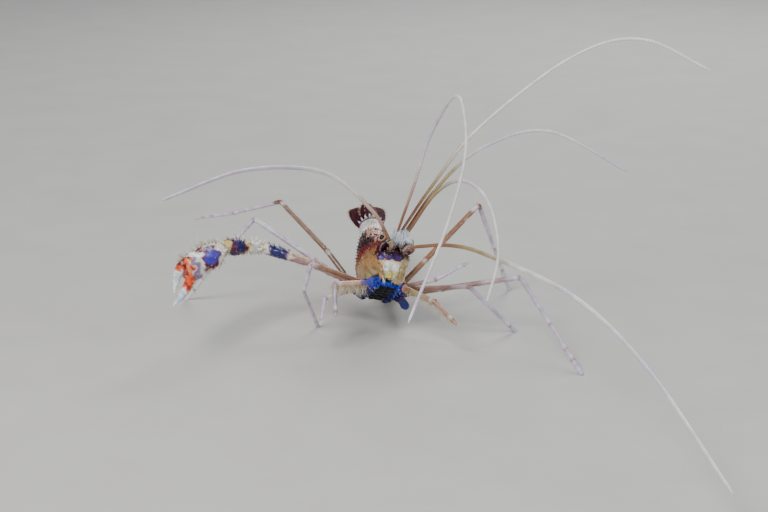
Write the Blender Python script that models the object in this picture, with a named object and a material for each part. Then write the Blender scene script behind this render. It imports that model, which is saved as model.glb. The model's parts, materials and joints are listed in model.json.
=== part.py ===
"""A banded boxer shrimp, a cleaner shrimp, standing on its walking legs at life size.

The shrimp faces -Y with its head reared and turned a little to +X, and its abdomen lies level behind it.
Every mesh is drawn in millimetres and its object is scaled to metres.  A direction is an azimuth and an
elevation in degrees: azimuth 0 is ahead (-Y), 90 is to the shrimp's left (+X), and 180 is behind it.
"""

import math

import bmesh
import bpy
from mathutils import Matrix, Vector

MM = 0.001
GAP = 0.3
FLOOR = 0.0

# Corners round each kind of tube.
CARAPACE_SIDES = 18
SOMITE_SIDES = 16
STERNUM_SIDES = 14
PALM_SIDES = 12
EYE_SIDES = 12
PADDLE_SIDES = 10
PEDUNCLE_SIDES = 10
ARM_SIDES = 10
LIMB_SIDES = 8
FINGER_SIDES = 8
SWIMMERET_SIDES = 6
FLAGELLUM_SIDES = 6

# The trunk: how high the leg bases are carried, and how the carapace is turned.
HIP_HEIGHT = 9.5
TRUNK_YAW = 17.0
TRUNK_PITCH = 28.0
TRUNK_ROLL = 14.0

# Carapace stations from the rear edge to the brow: ahead, centre height, half width, half height.
CARAPACE_STATIONS = (
    (-7.0, 5.2, 3.6, 4.1),
    (-5.0, 5.1, 4.0, 4.5),
    (-1.0, 5.0, 4.4, 4.7),
    (3.0, 4.9, 4.3, 4.6),
    (6.5, 4.7, 3.9, 4.2),
    (8.6, 4.6, 3.4, 3.6),
    (9.8, 4.7, 2.5, 2.6),
    (10.3, 4.9, 1.3, 1.5),
)
ROSTRUM_ROOT = 7.0
ROSTRUM_TIP = 11.4
ROSTRUM_ROOT_HEIGHT = 7.2
ROSTRUM_TIP_HEIGHT = 7.9
ROSTRUM_RADIUS = 1.0
ROSTRUM_TIP_RADIUS = 0.2

# Sternum: the keel under the carapace that the legs grow from.
STERNUM_REAR = -6.0
STERNUM_FRONT = 8.0
STERNUM_HALF_WIDTH = 2.3
STERNUM_HALF_HEIGHT = 0.75
STERNUM_TOP = -0.3

# Abdomen, one row for each somite: length, heading to -X, climb, half width, half height.
SOMITES = (
    (3.4, 5.0, -7.0, 3.5, 3.6),
    (3.9, -2.0, 6.0, 3.7, 3.7),
    (4.4, -3.0, 9.0, 3.7, 3.8),
    (3.9, 0.0, 11.0, 3.4, 3.5),
    (3.4, 4.0, 13.0, 3.0, 3.1),
    (4.6, 8.0, 16.0, 2.6, 2.6),
)
SOMITE_BELLY = 0.7
SOMITE_FLARE = 1.03
LAST_SOMITE_TAPER = 0.82
SWIMMERET_LENGTH = 3.0
SWIMMERET_HALF_WIDTH = 1.0
SWIMMERET_HALF_THICKNESS = 0.35
TELSON_LENGTH = 8.6
TELSON_CLIMB = 21.0
TELSON_HALF_WIDTH = 1.6
FAN_HALF_THICKNESS = 0.4
TELSON_HALF_THICKNESS = 0.52
UROPOD_LENGTH = 8.0
UROPOD_HALF_WIDTH = 1.5
UROPOD_SPREADS = (5.0, 12.0)
UROPOD_DROOP = 7.0
UROPOD_SEAT = (1.5, 0.45)

# Head pieces, placed ahead, to the left and up from the middle of the leg bases.
EYE_SEAT = (9.3, 1.3, 7.2)
EYE_CENTRE = (10.6, 3.05, 7.75)
EYE_RADIUS = 0.85
EYE_STALK_RADIUS = 0.5
SCALE_SEAT = (8.6, 2.2, 5.7)
SCALE_LENGTH = 4.4
SCALE_HALF_WIDTH = 0.95
SCALE_HALF_THICKNESS = 0.3
SCALE_RUN = (0.95, 0.2, 0.12)
SCALE_TILT = 0.9

# Limb radii at the body, the knee and the tip.
SLENDER = (0.85, 0.5, 0.26)
MEDIUM = (0.8, 0.48, 0.26)
SMALL = (0.65, 0.42, 0.25)
BRUSHY = (0.8, 0.68, 0.3)

# Slender limbs: seat along the sternum, side (-1 right, 1 left), radii, the lengths and directions of the
# segments above the knee and below it, and whether the tip stands on the floor.
LIMBS = {
    "maxilliped_right": (7.0, -1, BRUSHY, ((10.9, -53, 8), (7.1, 4, -58)), (), False),
    "maxilliped_left": (7.0, 1, BRUSHY, ((11.1, 41, -5), (7.4, 40, -26)), (), False),
    "leg_1_right": (5.0, -1, SMALL, ((11.1, -64, -8),), ((8.7, -5, -22),), False),
    "leg_1_left": (5.0, 1, SMALL, ((11.1, 48, 21),), ((8.7, 67, 32),), False),
    "leg_2_right": (3.0, -1, MEDIUM, ((14.4, -67, 26),), ((6.7, -130, -72), (14.6, 165, 0)), True),
    "leg_2_left": (3.0, 1, MEDIUM, ((16.3, 66, 10),), ((17.9, 127, 0),), True),
    "leg_4_right": (-2.7, -1, SLENDER, ((28.4, -115, 27),), ((12.8, -114, -48), (15.5, -127, 0)), True),
    "leg_4_left": (-2.7, 1, SLENDER, ((28.4, 74, 13),), ((29.0, 25, 0),), True),
    "leg_5_right": (-4.6, -1, SLENDER, ((12.2, -131, 40), (16.1, -134, 30)),
                    ((13.6, -123, -19), (12.7, -127, -15)), False),
    "leg_5_left": (-4.6, 1, SLENDER, ((29.3, 126, 35),), ((26.2, 144, 0),), True),
}
HIP_REACH = 3.4
HIP_DROP = 0.85
HIP_SHARE = 0.22
LIMB_SEAT_INSET = 0.6
FOOT_RADIUS = 0.45

# Great claws: the third pair of legs.  Each row is a segment: length, azimuth, elevation.
CLAW_SEAT = 0.7
CLAW_ARMS = {
    "right": ((11.7, -108, 20), (11.7, -100, 16), (11.0, -45, 12), (14.5, -27, -6), (10.5, -12, -24)),
    "left": ((4.0, 104, -56), (19.0, 187, -4.2), (11.0, 182, -8), (14.5, 180, -2.6), (10.5, 177, 0)),
}
ARM_RADII = (0.85, 0.65, 1.25)
WRIST_RADII = (0.95, 1.6, 1.2)
PALM_HALF_WIDTHS = (1.05, 2.3, 2.7, 2.45)
PALM_THICKNESS_RATIO = 0.54
FINGER_HALF_WIDTH = 1.0
FINGER_HALF_THICKNESS = 0.85
FINGER_SPLAY = 1.5
PALM_LEANS = {"right": -48.0, "left": 0.0}
FIXED_FINGER_SIDES = {"right": -1, "left": 1}
MOVING_FINGER_SHARE = 0.72
KNUCKLE_SLANT = 2.2
THORN_HEIGHT = 0.55

# Flagella: the route of each from its peduncle to its tip, as places beside the hip (x, y, height).
FLAGELLUM_ROUTES = {
    "antenna_left": ((6.6, -7.8, 20.4), (14.0, -15.4, 22.9), (21.1, -23.1, 23.1), (36.1, -46.4, 21.7),
                     (47.0, -71.0, 16.0), (56.0, -107.6, 8.0)),
    "antenna_right": ((1.9, -8.1, 22.1), (-1.6, -11.0, 29.0), (-10.9, -14.8, 37.7), (-25.5, -31.2, 42.2),
                      (-39.4, -50.2, 41.2)),
    "antennule_right_outer": ((3.7, -6.1, 23.4), (6.9, -10.6, 34.2), (10.2, -12.7, 45.2), (14.9, -22.6, 54.9),
                              (16.2, -36.0, 48.0), (12.6, -52.0, 38.0), (5.0, -72.5, 25.0)),
    "antennule_right_inner": ((4.4, -5.7, 23.2), (10.6, -7.8, 33.3), (20.2, -6.4, 45.2), (38.5, -5.5, 59.3),
                              (52.1, -6.5, 63.1), (65.6, -11.2, 57.6)),
    "antennule_left_inner": ((5.3, -5.3, 23.1), (11.4, -5.6, 32.0), (20.7, 1.2, 38.9), (35.0, 6.0, 41.6),
                             (52.3, 9.6, 32.2)),
    "antennule_left_outer": ((6.0, -5.3, 23.1), (11.2, -10.6, 32.4), (16.4, -15.2, 36.2), (21.2, -22.2, 33.8),
                             (22.9, -31.0, 26.0), (20.4, -39.1, 18.4)),
}
# Flagellum radii at the root, a quarter of the way along, and at the tip.
FLAGELLUM_RADII = {"antenna": (0.36, 0.46, 0.32), "antennule": (0.28, 0.38, 0.26)}
FLAGELLUM_SWELL = 0.25
FLAGELLUM_LENGTHS = {"antenna": 3, "antennule": 2}
FLAGELLUM_STATIONS = {"antenna": 30, "antennule": 24}

# Peduncles: seat and elbow (both ahead, left, up from the middle of the leg bases), and the radii from the
# seat to the flagellum.
ANTENNA_SEAT = (8.9, 1.45, 4.9)
ANTENNA_ELBOW = (12.0, 1.55, 5.3)
ANTENNA_BASE_RADII = (0.75, 0.7, 0.6, 0.5)
ANTENNULE_SEAT = (9.2, 0.6, 6.1)
ANTENNULE_ELBOW = (11.9, 0.75, 6.6)
ANTENNULE_BASE_RADII = (0.45, 0.45, 0.45, 0.55)
ANTENNULE_WRIST = 0.9

COLOURS = {
    "shell": (0.62, 0.42, 0.22),
    "banded": (0.55, 0.06, 0.05),
    "maroon": (0.2, 0.03, 0.06),
    "blue": (0.05, 0.08, 0.42),
    "limb": (0.55, 0.47, 0.5),
    "claw": (0.78, 0.72, 0.8),
    "feeler": (0.8, 0.77, 0.83),
    "eye": (0.02, 0.015, 0.02),
}


def direction(azimuth, elevation):
    """Return the unit vector of an azimuth and an elevation in degrees."""
    turn = math.radians(azimuth)
    lift = math.radians(elevation)
    return Vector((math.sin(turn) * math.cos(lift), -math.cos(turn) * math.cos(lift), math.sin(lift)))


def trunk_axes():
    """Return the trunk's ahead, left and up directions."""
    ahead = direction(TRUNK_YAW, TRUNK_PITCH)
    left = Vector((0, 0, 1)).cross(ahead).normalized()
    roll = Matrix.Rotation(math.radians(-TRUNK_ROLL), 3, ahead)
    return ahead, roll @ left, roll @ ahead.cross(left).normalized()


AHEAD, LEFT, UP = trunk_axes()


def on_trunk(ahead, left, up):
    """Return the place that lies so far ahead, left and up from the middle of the leg bases."""
    return Vector((0, 0, HIP_HEIGHT)) + AHEAD * ahead + LEFT * left + UP * up


def ring(centre, side, rise, half_width, half_height, sides, belly=1.0):
    """Return an oval of points; belly scales the half that lies below the centre."""
    points = []
    for step in range(sides):
        angle = 2 * math.pi * (step + 0.5) / sides
        height = half_height * math.sin(angle)
        if height < 0:
            height *= belly
        points.append(centre + side * half_width * math.cos(angle) + rise * height)
    return points


def solid(name, rings, colour):
    """Skin a row of rings into one closed body and return its object."""
    mesh = bmesh.new()
    rows = [[mesh.verts.new(point) for point in row] for row in rings]
    for lower, upper in zip(rows, rows[1:]):
        for step in range(len(lower)):
            after = (step + 1) % len(lower)
            mesh.faces.new((lower[step], lower[after], upper[after], upper[step]))
    mesh.faces.new(rows[0])
    mesh.faces.new(rows[-1])
    bmesh.ops.recalc_face_normals(mesh, faces=mesh.faces)
    data = bpy.data.meshes.new(name)
    mesh.to_mesh(data)
    mesh.free()
    data.shade_smooth()
    data.materials.append(finish(colour))
    piece = bpy.data.objects.new(name, data)
    piece.scale = (MM, MM, MM)
    bpy.context.scene.collection.objects.link(piece)
    return piece


def finish(colour):
    """Return the material of a named colour, made once."""
    material = bpy.data.materials.get(colour)
    if material is None:
        material = bpy.data.materials.new(colour)
        material.use_nodes = True
        shader = material.node_tree.nodes["Principled BSDF"]
        shader.inputs["Base Color"].default_value = (*COLOURS[colour], 1.0)
        shader.inputs["Roughness"].default_value = 0.35
        shader.inputs["Metallic"].default_value = 0.0
    return material


def helper(piece):
    """Mark an object as a tool that is not part of the shrimp."""
    piece.hide_render = True
    piece.display_type = "WIRE"
    return piece


def boolean(piece, other, operation):
    """Cut another solid from a piece, or weld it on."""
    modifier = piece.modifiers.new(operation.title(), "BOOLEAN")
    modifier.operation = operation
    modifier.solver = "EXACT"
    modifier.object = helper(other)


def between(start, end, share):
    """Return the value a share of the way from start to end."""
    return start + (end - start) * share


def smooth_route(points, count):
    """Return count + 1 places, evenly spread along a smooth curve through a few points."""
    line = [Vector(point) for point in points]
    ends = [line[0] * 2 - line[1], *line, line[-1] * 2 - line[-2]]
    fine = []
    for before, start, end, after in zip(ends, ends[1:], ends[2:], ends[3:]):
        for step in range(16):
            fine.append(spline_point(before, start, end, after, step / 16))
    fine.append(line[-1])
    return even_steps(fine, count)


def spline_point(before, start, end, after, share):
    """Return a place on the Catmull-Rom curve between start and end."""
    linear = (end - before) * share
    square = (before * 2 - start * 5 + end * 4 - after) * share ** 2
    cube = (start * 3 - before - end * 3 + after) * share ** 3
    return start + (linear + square + cube) * 0.5


def even_steps(line, count):
    """Return count + 1 places at equal distances along a line of points."""
    reach = [0.0]
    for start, end in zip(line, line[1:]):
        reach.append(reach[-1] + (end - start).length)
    places = []
    leg = 0
    for step in range(count + 1):
        wanted = reach[-1] * step / count
        while leg < len(line) - 2 and reach[leg + 1] < wanted:
            leg += 1
        share = (wanted - reach[leg]) / max(reach[leg + 1] - reach[leg], 1e-9)
        places.append(line[leg].lerp(line[leg + 1], min(share, 1.0)))
    return places


def tangents(line):
    """Return the direction of a line of points at each point, halved at its bends."""
    runs = [(end - start).normalized() for start, end in zip(line, line[1:])]
    middle = [(before + after).normalized() for before, after in zip(runs, runs[1:])]
    return [runs[0], *middle, runs[-1]]


def carried_frames(line, first_side):
    """Return a side and a rise direction at each point, turned as little as possible along the line."""
    side = first_side
    frames = []
    for tangent in tangents(line):
        side = (side - tangent * side.dot(tangent)).normalized()
        frames.append((tangent, side, tangent.cross(side)))
    return frames


def tube_lengths(names, line, radii, cuts, sides, colour, foot=False):
    """Make a round tube along a line, parted into named lengths at the cuts, and return them."""
    frames = carried_frames(line, first_side_of(line))
    edges = [0, *cuts, len(line) - 1]
    pieces = []
    for name, start, end in zip(names, edges, edges[1:]):
        rings = []
        for spot in range(start, end + 1):
            tangent, side, rise = frames[spot]
            centre = line[spot]
            if spot == start and start > 0:
                centre = centre + tangent * GAP / 2
            if spot == end and end < len(line) - 1:
                centre = centre - tangent * GAP / 2
            if foot and spot == len(line) - 1:
                side, rise = Vector((1, 0, 0)), Vector((0, 1, 0))
                side = (side * frames[spot][1].x + rise * frames[spot][1].y).normalized()
                rise = Vector((0, 0, -1)).cross(side)
            rings.append(ring(centre, side, rise, radii[spot], radii[spot], sides))
        pieces.append(solid(name, rings, colour))
    return pieces


def first_side_of(line):
    """Return a level direction square to the start of a line."""
    start = (line[1] - line[0]).normalized()
    across = start.cross(Vector((0, 0, 1)))
    if across.length < 0.1:
        across = Vector((1, 0, 0))
    return across.normalized()


# ---- Trunk ----

def carapace_rings(grow=0.0):
    """Return the carapace's rings, grown all round by a margin."""
    rings = []
    for ahead, height, half_width, half_height in CARAPACE_STATIONS:
        shift = grow if ahead == CARAPACE_STATIONS[-1][0] else 0.0
        centre = on_trunk(ahead + shift, 0, height)
        rings.append(ring(centre, LEFT, UP, half_width + grow, half_height + grow, CARAPACE_SIDES))
    return rings


def make_carapace():
    """Make the shield over the head and thorax, with the rostrum between the eyes."""
    carapace = solid("carapace", carapace_rings(), "shell")
    beak = []
    for share in (0.0, 0.4, 0.75, 1.0):
        height = between(ROSTRUM_ROOT_HEIGHT, ROSTRUM_TIP_HEIGHT, share)
        centre = on_trunk(between(ROSTRUM_ROOT, ROSTRUM_TIP, share), 0, height)
        radius = between(ROSTRUM_RADIUS, ROSTRUM_TIP_RADIUS, share)
        beak.append(ring(centre, LEFT, UP, radius * 0.8, radius, 8))
    boolean(carapace, solid("rostrum_stock", beak, "shell"), "UNION")
    return carapace


def sternum_rings(grow=0.0):
    """Return the rings of the keel that the legs grow from."""
    rings = []
    for share in (0.0, 0.12, 0.4, 0.7, 0.92, 1.0):
        swell = math.sqrt(max(1 - (2 * share - 1) ** 4, 0.35))
        ahead = between(STERNUM_REAR - grow, STERNUM_FRONT + grow, share)
        centre = on_trunk(ahead, 0, STERNUM_TOP - STERNUM_HALF_HEIGHT)
        half_width = STERNUM_HALF_WIDTH * swell + grow
        half_height = STERNUM_HALF_HEIGHT * swell + grow
        rings.append(ring(centre, LEFT, UP, half_width, half_height, STERNUM_SIDES))
    return rings


def somite_joints():
    """Return the abdomen's axis as joints and the direction of each somite."""
    place = on_trunk(CARAPACE_STATIONS[0][0] - GAP, 0, CARAPACE_STATIONS[0][1])
    joints = [place]
    runs = []
    for length, heading, climb, _, _ in SOMITES:
        run = direction(180 + heading, climb)
        runs.append(run)
        joints.append(joints[-1] + run * length)
    return joints, runs


def make_abdomen():
    """Make the six somites, each flared to its rear edge, with a pair of swimmerets on the first five."""
    joints, runs = somite_joints()
    bends = [-AHEAD]
    bends += [(before + after).normalized() for before, after in zip(runs, runs[1:])]
    bends.append(runs[-1])
    for number, (length, _, _, half_width, half_height) in enumerate(SOMITES, start=1):
        start, end = joints[number - 1], joints[number]
        taper = LAST_SOMITE_TAPER if number == len(SOMITES) else SOMITE_FLARE
        rings = []
        for share, size in ((0.0, 0.9), (0.3, 0.97), (0.75, 1.0), (1.0, taper)):
            axis = bends[number - 1].lerp(bends[number], share).normalized()
            side = level_side(axis)
            inset = GAP / 2 - GAP * share
            centre = start.lerp(end, share) + axis * inset
            rise = side.cross(axis)
            rings.append(ring(centre, side, rise, half_width * size, half_height * size, SOMITE_SIDES,
                              SOMITE_BELLY))
        somite = solid(f"abdomen_{number}", rings, "banded" if number < 5 else "maroon")
        if number < len(SOMITES):
            add_swimmerets(somite, start.lerp(end, 0.5), runs[number - 1], half_width, half_height)


def level_side(axis):
    """Return the direction to the shrimp's left that is level and square to an axis that runs back."""
    return axis.cross(Vector((0, 0, 1))).normalized()


def add_swimmerets(somite, middle, axis, half_width, half_height):
    """Weld a pair of swimming paddles to the belly of a somite."""
    side = level_side(axis)
    for hand in (-1, 1):
        top = middle + side * hand * half_width * 0.45 - Vector((0, 0, half_height * SOMITE_BELLY * 0.6))
        hang = (axis * 0.45 - Vector((0, 0, 1)) + side * hand * 0.15).normalized()
        reach = SWIMMERET_LENGTH + half_height * SOMITE_BELLY * 0.4
        rings = []
        for share, size in ((0.0, 0.7), (0.55, 1.0), (1.0, 0.4)):
            half = SWIMMERET_HALF_WIDTH * size
            rings.append(ring(top + hang * reach * share, side, hang.cross(side), half,
                              SWIMMERET_HALF_THICKNESS, SWIMMERET_SIDES))
        boolean(somite, solid(f"{somite.name}_paddle_{hand}", rings, "banded"), "UNION")


def paddle_rings(start, run, side, length, half_width, thickness):
    """Return the rings of a flat paddle with a rounded end."""
    rise = side.cross(run)
    rings = []
    for share, size in ((0.0, 0.5), (0.25, 0.85), (0.6, 1.0), (0.88, 0.75), (1.0, 0.25)):
        centre = start + run * length * share
        rings.append(ring(centre, side, rise, half_width * size, thickness * (1 - 0.3 * share), PADDLE_SIDES))
    return rings


def make_tail_fan():
    """Make the telson and, on each side of it, a uropod of two paddles on one stalk."""
    joints, runs = somite_joints()
    run = direction(180 + SOMITES[-1][1], TELSON_CLIMB)
    side = level_side(run)
    start = joints[-1] + runs[-1] * GAP
    telson = paddle_rings(start, run, side, TELSON_LENGTH, TELSON_HALF_WIDTH, TELSON_HALF_THICKNESS)
    solid("telson", telson, "maroon")
    for hand, name in ((-1, "uropod_right"), (1, "uropod_left")):
        out, down = UROPOD_SEAT
        root = start + side * hand * out - Vector((0, 0, down))
        blades = []
        for spread in UROPOD_SPREADS:
            turn = Matrix.Rotation(math.radians(-spread * hand), 3, Vector((0, 0, 1)))
            droop = Matrix.Rotation(math.radians(UROPOD_DROOP * hand), 3, run)
            blade_run = (droop @ (turn @ run)).normalized()
            blade_side = droop @ (turn @ side)
            blades.append(paddle_rings(root + blade_run * 0.4, blade_run, blade_side, UROPOD_LENGTH,
                                       UROPOD_HALF_WIDTH, FAN_HALF_THICKNESS))
        uropod = solid(name, blades[0], "maroon")
        boolean(uropod, solid(f"{name}_outer", blades[1], "maroon"), "UNION")
        room = paddle_rings(start - run, run, side, TELSON_LENGTH + 2, TELSON_HALF_WIDTH + GAP,
                            TELSON_HALF_THICKNESS + GAP)
        boolean(uropod, solid(f"{name}_room", room, "maroon"), "DIFFERENCE")


# ---- Head ----

def mirrored(place, hand):
    """Return a place on the trunk, on the left for a hand of 1 and on the right for -1."""
    ahead, left, up = place
    return on_trunk(ahead, left * hand, up)


def make_eyes(rooms):
    """Make each eye with its short stalk as one turned solid."""
    for hand, name in ((-1, "eye_right"), (1, "eye_left")):
        seat, centre = mirrored(EYE_SEAT, hand), mirrored(EYE_CENTRE, hand)
        axis = (centre - seat).normalized()
        side = first_side_of([seat, centre])
        rise = axis.cross(side)
        rings = [ring(seat, side, rise, EYE_STALK_RADIUS, EYE_STALK_RADIUS, EYE_SIDES)]
        for degrees in (-58, -30, 0, 30, 58, 80):
            swing = math.radians(degrees)
            radius = EYE_RADIUS * math.cos(swing)
            middle = centre + axis * EYE_RADIUS * math.sin(swing)
            rings.append(ring(middle, side, rise, radius, radius, EYE_SIDES))
        keep_clear(solid(name, rings, "eye"), rooms)


def make_scales(rooms):
    """Make the flat scale that lies outside each antenna's base."""
    for hand, name in ((-1, "antennal_scale_right"), (1, "antennal_scale_left")):
        seat = mirrored(SCALE_SEAT, hand)
        forward, outward, upward = SCALE_RUN
        run = (AHEAD * forward + LEFT * hand * outward + UP * upward).normalized()
        side = (LEFT * hand - UP * SCALE_TILT).normalized()
        side = (side - run * side.dot(run)).normalized()
        rings = paddle_rings(seat, run, side, SCALE_LENGTH, SCALE_HALF_WIDTH, SCALE_HALF_THICKNESS)
        keep_clear(solid(name, rings, "shell"), rooms)


def make_peduncles(rooms):
    """Make the jointed bases of the two antennae and the two antennules."""
    for hand, side in ((-1, "right"), (1, "left")):
        root, run = flagellum_root(f"antenna_{side}")
        line = [mirrored(ANTENNA_SEAT, hand), mirrored(ANTENNA_ELBOW, hand), root - run, root]
        names = [f"antenna_base_{side}"]
        base = tube_lengths(names, line, ANTENNA_BASE_RADII, [], PEDUNCLE_SIDES, "shell")
        keep_clear(base[0], rooms)
        outer, outer_run = flagellum_root(f"antennule_{side}_outer")
        inner, inner_run = flagellum_root(f"antennule_{side}_inner")
        root, run = (outer + inner) / 2, (outer_run + inner_run).normalized()
        line = [mirrored(ANTENNULE_SEAT, hand), mirrored(ANTENNULE_ELBOW, hand), root - run * ANTENNULE_WRIST,
                root - run * GAP]
        names = [f"antennule_base_{side}"]
        base = tube_lengths(names, line, ANTENNULE_BASE_RADII, [], PEDUNCLE_SIDES, "shell")
        keep_clear(base[0], rooms)


def flagellum_root(name):
    """Return the place just short of a flagellum's first point, and the direction it starts in."""
    route = [Vector(point) for point in FLAGELLUM_ROUTES[name]]
    run = (route[1] - route[0]).normalized()
    return route[0] - run * GAP, run


def make_flagella():
    """Make the long feelers, each parted into a few lengths."""
    for name, route in FLAGELLUM_ROUTES.items():
        kind = name.split("_")[0]
        count = FLAGELLUM_STATIONS[kind]
        parts = FLAGELLUM_LENGTHS[kind]
        line = smooth_route(route, count)
        root, swell, tip = FLAGELLUM_RADII[kind]
        radii = []
        for step in range(count + 1):
            share = step / count
            if share < FLAGELLUM_SWELL:
                radii.append(between(root, swell, share / FLAGELLUM_SWELL))
            else:
                radii.append(between(swell, tip, (share - FLAGELLUM_SWELL) / (1 - FLAGELLUM_SWELL)))
        cuts = [count * part // parts for part in range(1, parts)]
        names = [f"{name}_{part}" for part in range(1, parts + 1)]
        tube_lengths(names, line, radii, cuts, FLAGELLUM_SIDES, "feeler")


def keep_clear(piece, rooms):
    """Cut a piece back so that it stops a gap short of its neighbours."""
    for room in rooms:
        boolean(piece, room, "DIFFERENCE")


# ---- Limbs ----

def chain(start, segments, stands):
    """Return the joints of a limb; the last segment of one that stands reaches down to the floor."""
    joints = [start]
    for number, (length, azimuth, elevation) in enumerate(segments, start=1):
        if stands and number == len(segments):
            elevation = -math.degrees(math.asin((joints[-1].z - FLOOR) / length))
        joints.append(joints[-1] + direction(azimuth, elevation) * length)
    return joints


def limb_seat(ahead, hand):
    """Return the place inside the sternum's flank that a limb grows from."""
    return on_trunk(ahead, hand * (STERNUM_HALF_WIDTH - LIMB_SEAT_INSET), STERNUM_TOP - STERNUM_HALF_HEIGHT)


def hip(ahead, hand):
    """Return the place outside the sternum where a limb starts its first long segment."""
    reach = HIP_REACH - 0.1 * max(ahead, 0) ** 1.2
    return on_trunk(ahead, hand * reach, -HIP_DROP)


def make_limb(name, rooms):
    """Make one slender limb, in two lengths where it has a knee."""
    ahead, hand, (root, knee, tip), upper, lower, stands = LIMBS[name]
    joints = chain(hip(ahead, hand), upper + lower, stands)
    line = [limb_seat(ahead, hand), joints[0], joints[0].lerp(joints[1], HIP_SHARE)]
    radii = [root, root, between(root, knee, 0.7)]
    for number, (start, end) in enumerate(zip(joints, joints[1:])):
        if number > 0:
            line.append(start.lerp(end, 0.5))
        line.append(end)
    cut = line.index(joints[len(upper)])
    for spot in range(3, len(line)):
        if spot <= cut:
            radii.append(between(between(root, knee, 0.7), knee, (spot - 2) / (cut - 2)))
        else:
            radii.append(between(knee, tip, (spot - cut) / (len(line) - 1 - cut)))
    if stands:
        radii[-1] = FOOT_RADIUS
    names = [f"{name}_upper", f"{name}_lower"] if lower else [name]
    cuts = [cut] if lower else []
    pieces = tube_lengths(names, line, radii, cuts, LIMB_SIDES, "limb", foot=stands)
    keep_clear(pieces[0], rooms)


def thorned(rings, sides, height):
    """Pull the chosen corners of every other ring outward into thorns."""
    for row in rings[1:-1:2]:
        centre = sum(row, Vector()) / len(row)
        for corner in sides:
            row[corner] = row[corner] + (row[corner] - centre).normalized() * height
    return rings


def make_claw(side, hand, rooms):
    """Make one great claw: arm, wrist, palm with its fixed finger, and moving finger."""
    joints = chain(hip(CLAW_SEAT, hand), CLAW_ARMS[side], False)
    shoulder, elbow, wrist, knuckle, hand_end, tip = joints
    arm = [limb_seat(CLAW_SEAT, hand), shoulder, *even_steps([elbow, wrist], 6)]
    line = arm + even_steps([wrist, knuckle], 6)[1:] + even_steps([knuckle, hand_end], 10)[1:]
    frames = carried_frames(line, first_side_of(line))
    first_cut, second_cut = len(arm) - 1, len(arm) + 5
    root, waist, end = ARM_RADII
    radii = [root, root, *(between(waist, end, share / 6) for share in range(7))]
    rings = oval_rings(line[:first_cut + 1], frames[:first_cut + 1], radii, (0, -GAP / 2))
    keep_clear(solid(f"claw_{side}_arm", thorned(rings, (1, 3, 6), THORN_HEIGHT), "limb"), rooms[1:])
    root, belly, end = WRIST_RADII
    radii = [root, between(root, belly, 0.6), belly, belly, belly * 0.97, between(belly, end, 0.6), end]
    rings = oval_rings(line[first_cut:second_cut + 1], frames[first_cut:second_cut + 1], radii,
                       (GAP / 2, -GAP / 2))
    solid(f"claw_{side}_wrist", thorned(rings, (1, 3, 6), THORN_HEIGHT), "claw")
    make_hand(side, line[second_cut:], frames[second_cut:], tip)


def oval_rings(line, frames, radii, shifts):
    """Return rings along a line, the first and last moved along it by the two shifts."""
    rings = []
    for spot, (centre, (tangent, side, rise), radius) in enumerate(zip(line, frames, radii)):
        if spot == 0:
            centre = centre + tangent * shifts[0]
        if spot == len(line) - 1:
            centre = centre + tangent * shifts[1]
        rings.append(ring(centre, side, rise, radius, radius, ARM_SIDES))
    return rings


def make_hand(side, palm, frames, tip):
    """Make the flat palm with its fixed finger, and the moving finger beside it."""
    narrow, swell, wide, end = PALM_HALF_WIDTHS
    widths = [narrow, swell * 0.8, swell, between(swell, wide, 0.6), wide, wide, wide, wide, wide * 0.98,
              between(wide, end, 0.5), end]
    run = (palm[-1] - palm[0]).normalized()
    lean = Matrix.Rotation(math.radians(PALM_LEANS[side]), 3, run) @ first_side_of(palm)
    rings = []
    for spot, (centre, (tangent, _, _), width) in enumerate(zip(palm, frames, widths)):
        flat = (lean - tangent * lean.dot(tangent)).normalized()
        shift = tangent * GAP / 2 if spot == 0 else Vector()
        rings.append(ring(centre + shift, flat, tangent.cross(flat), width, width * PALM_THICKNESS_RATIO,
                          PALM_SIDES))
    fixed = FIXED_FINGER_SIDES[side]
    for row in rings[-2:]:
        for corner, point in enumerate(row):
            share = (point - palm[-1]).dot(flat) * fixed / wide
            row[corner] = point + run * KNUCKLE_SLANT * share / 2
    palm_solid = solid(f"claw_{side}_palm", thorned(rings, (0, 5, 6, 11), THORN_HEIGHT), "claw")
    finger_run = (tip - palm[-1]).normalized()
    reach = (tip - palm[-1]).length
    for hand, name in ((fixed, "fixed"), (-fixed, "moving")):
        inset = -1.0 if name == "fixed" else GAP * 1.5 - KNUCKLE_SLANT * 0.25
        root = palm[-1] + flat * hand * FINGER_SPLAY + finger_run * inset
        end = tip + flat * hand * FINGER_HALF_WIDTH * 0.4
        if name == "moving":
            end = end - finger_run * reach * (1 - MOVING_FINGER_SHARE) + flat * hand * 0.6
        line = even_steps([root, root.lerp(end, 0.5) + flat * hand * 0.35, end], 5)
        finger = []
        for spot, centre in enumerate(line):
            size = 1.0 - 0.75 * (spot / 5) ** 2
            finger.append(ring(centre, flat, finger_run.cross(flat), FINGER_HALF_WIDTH * size,
                               FINGER_HALF_THICKNESS * size, FINGER_SIDES))
        piece = solid(f"claw_{side}_{name}_finger", finger, "claw")
        if name == "fixed":
            boolean(palm_solid, piece, "UNION")


# ---- Whole animal ----

def body_objects():
    """Return the objects that make up the shrimp."""
    return [item for item in bpy.data.objects if not item.hide_render]


def centre_on_floor():
    """Move every object so that the shrimp's box is centred over the origin, with its feet on the floor."""
    bpy.context.view_layer.update()
    depsgraph = bpy.context.evaluated_depsgraph_get()
    corners = []
    for item in body_objects():
        evaluated = item.evaluated_get(depsgraph)
        corners += [vertex.co.copy() for vertex in evaluated.data.vertices]
    low = [min(corner[axis] for corner in corners) for axis in range(3)]
    high = [max(corner[axis] for corner in corners) for axis in range(3)]
    shift = Vector((-(low[0] + high[0]) / 2, -(low[1] + high[1]) / 2, -low[2]))
    for item in bpy.data.objects:
        item.location = shift * MM


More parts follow.
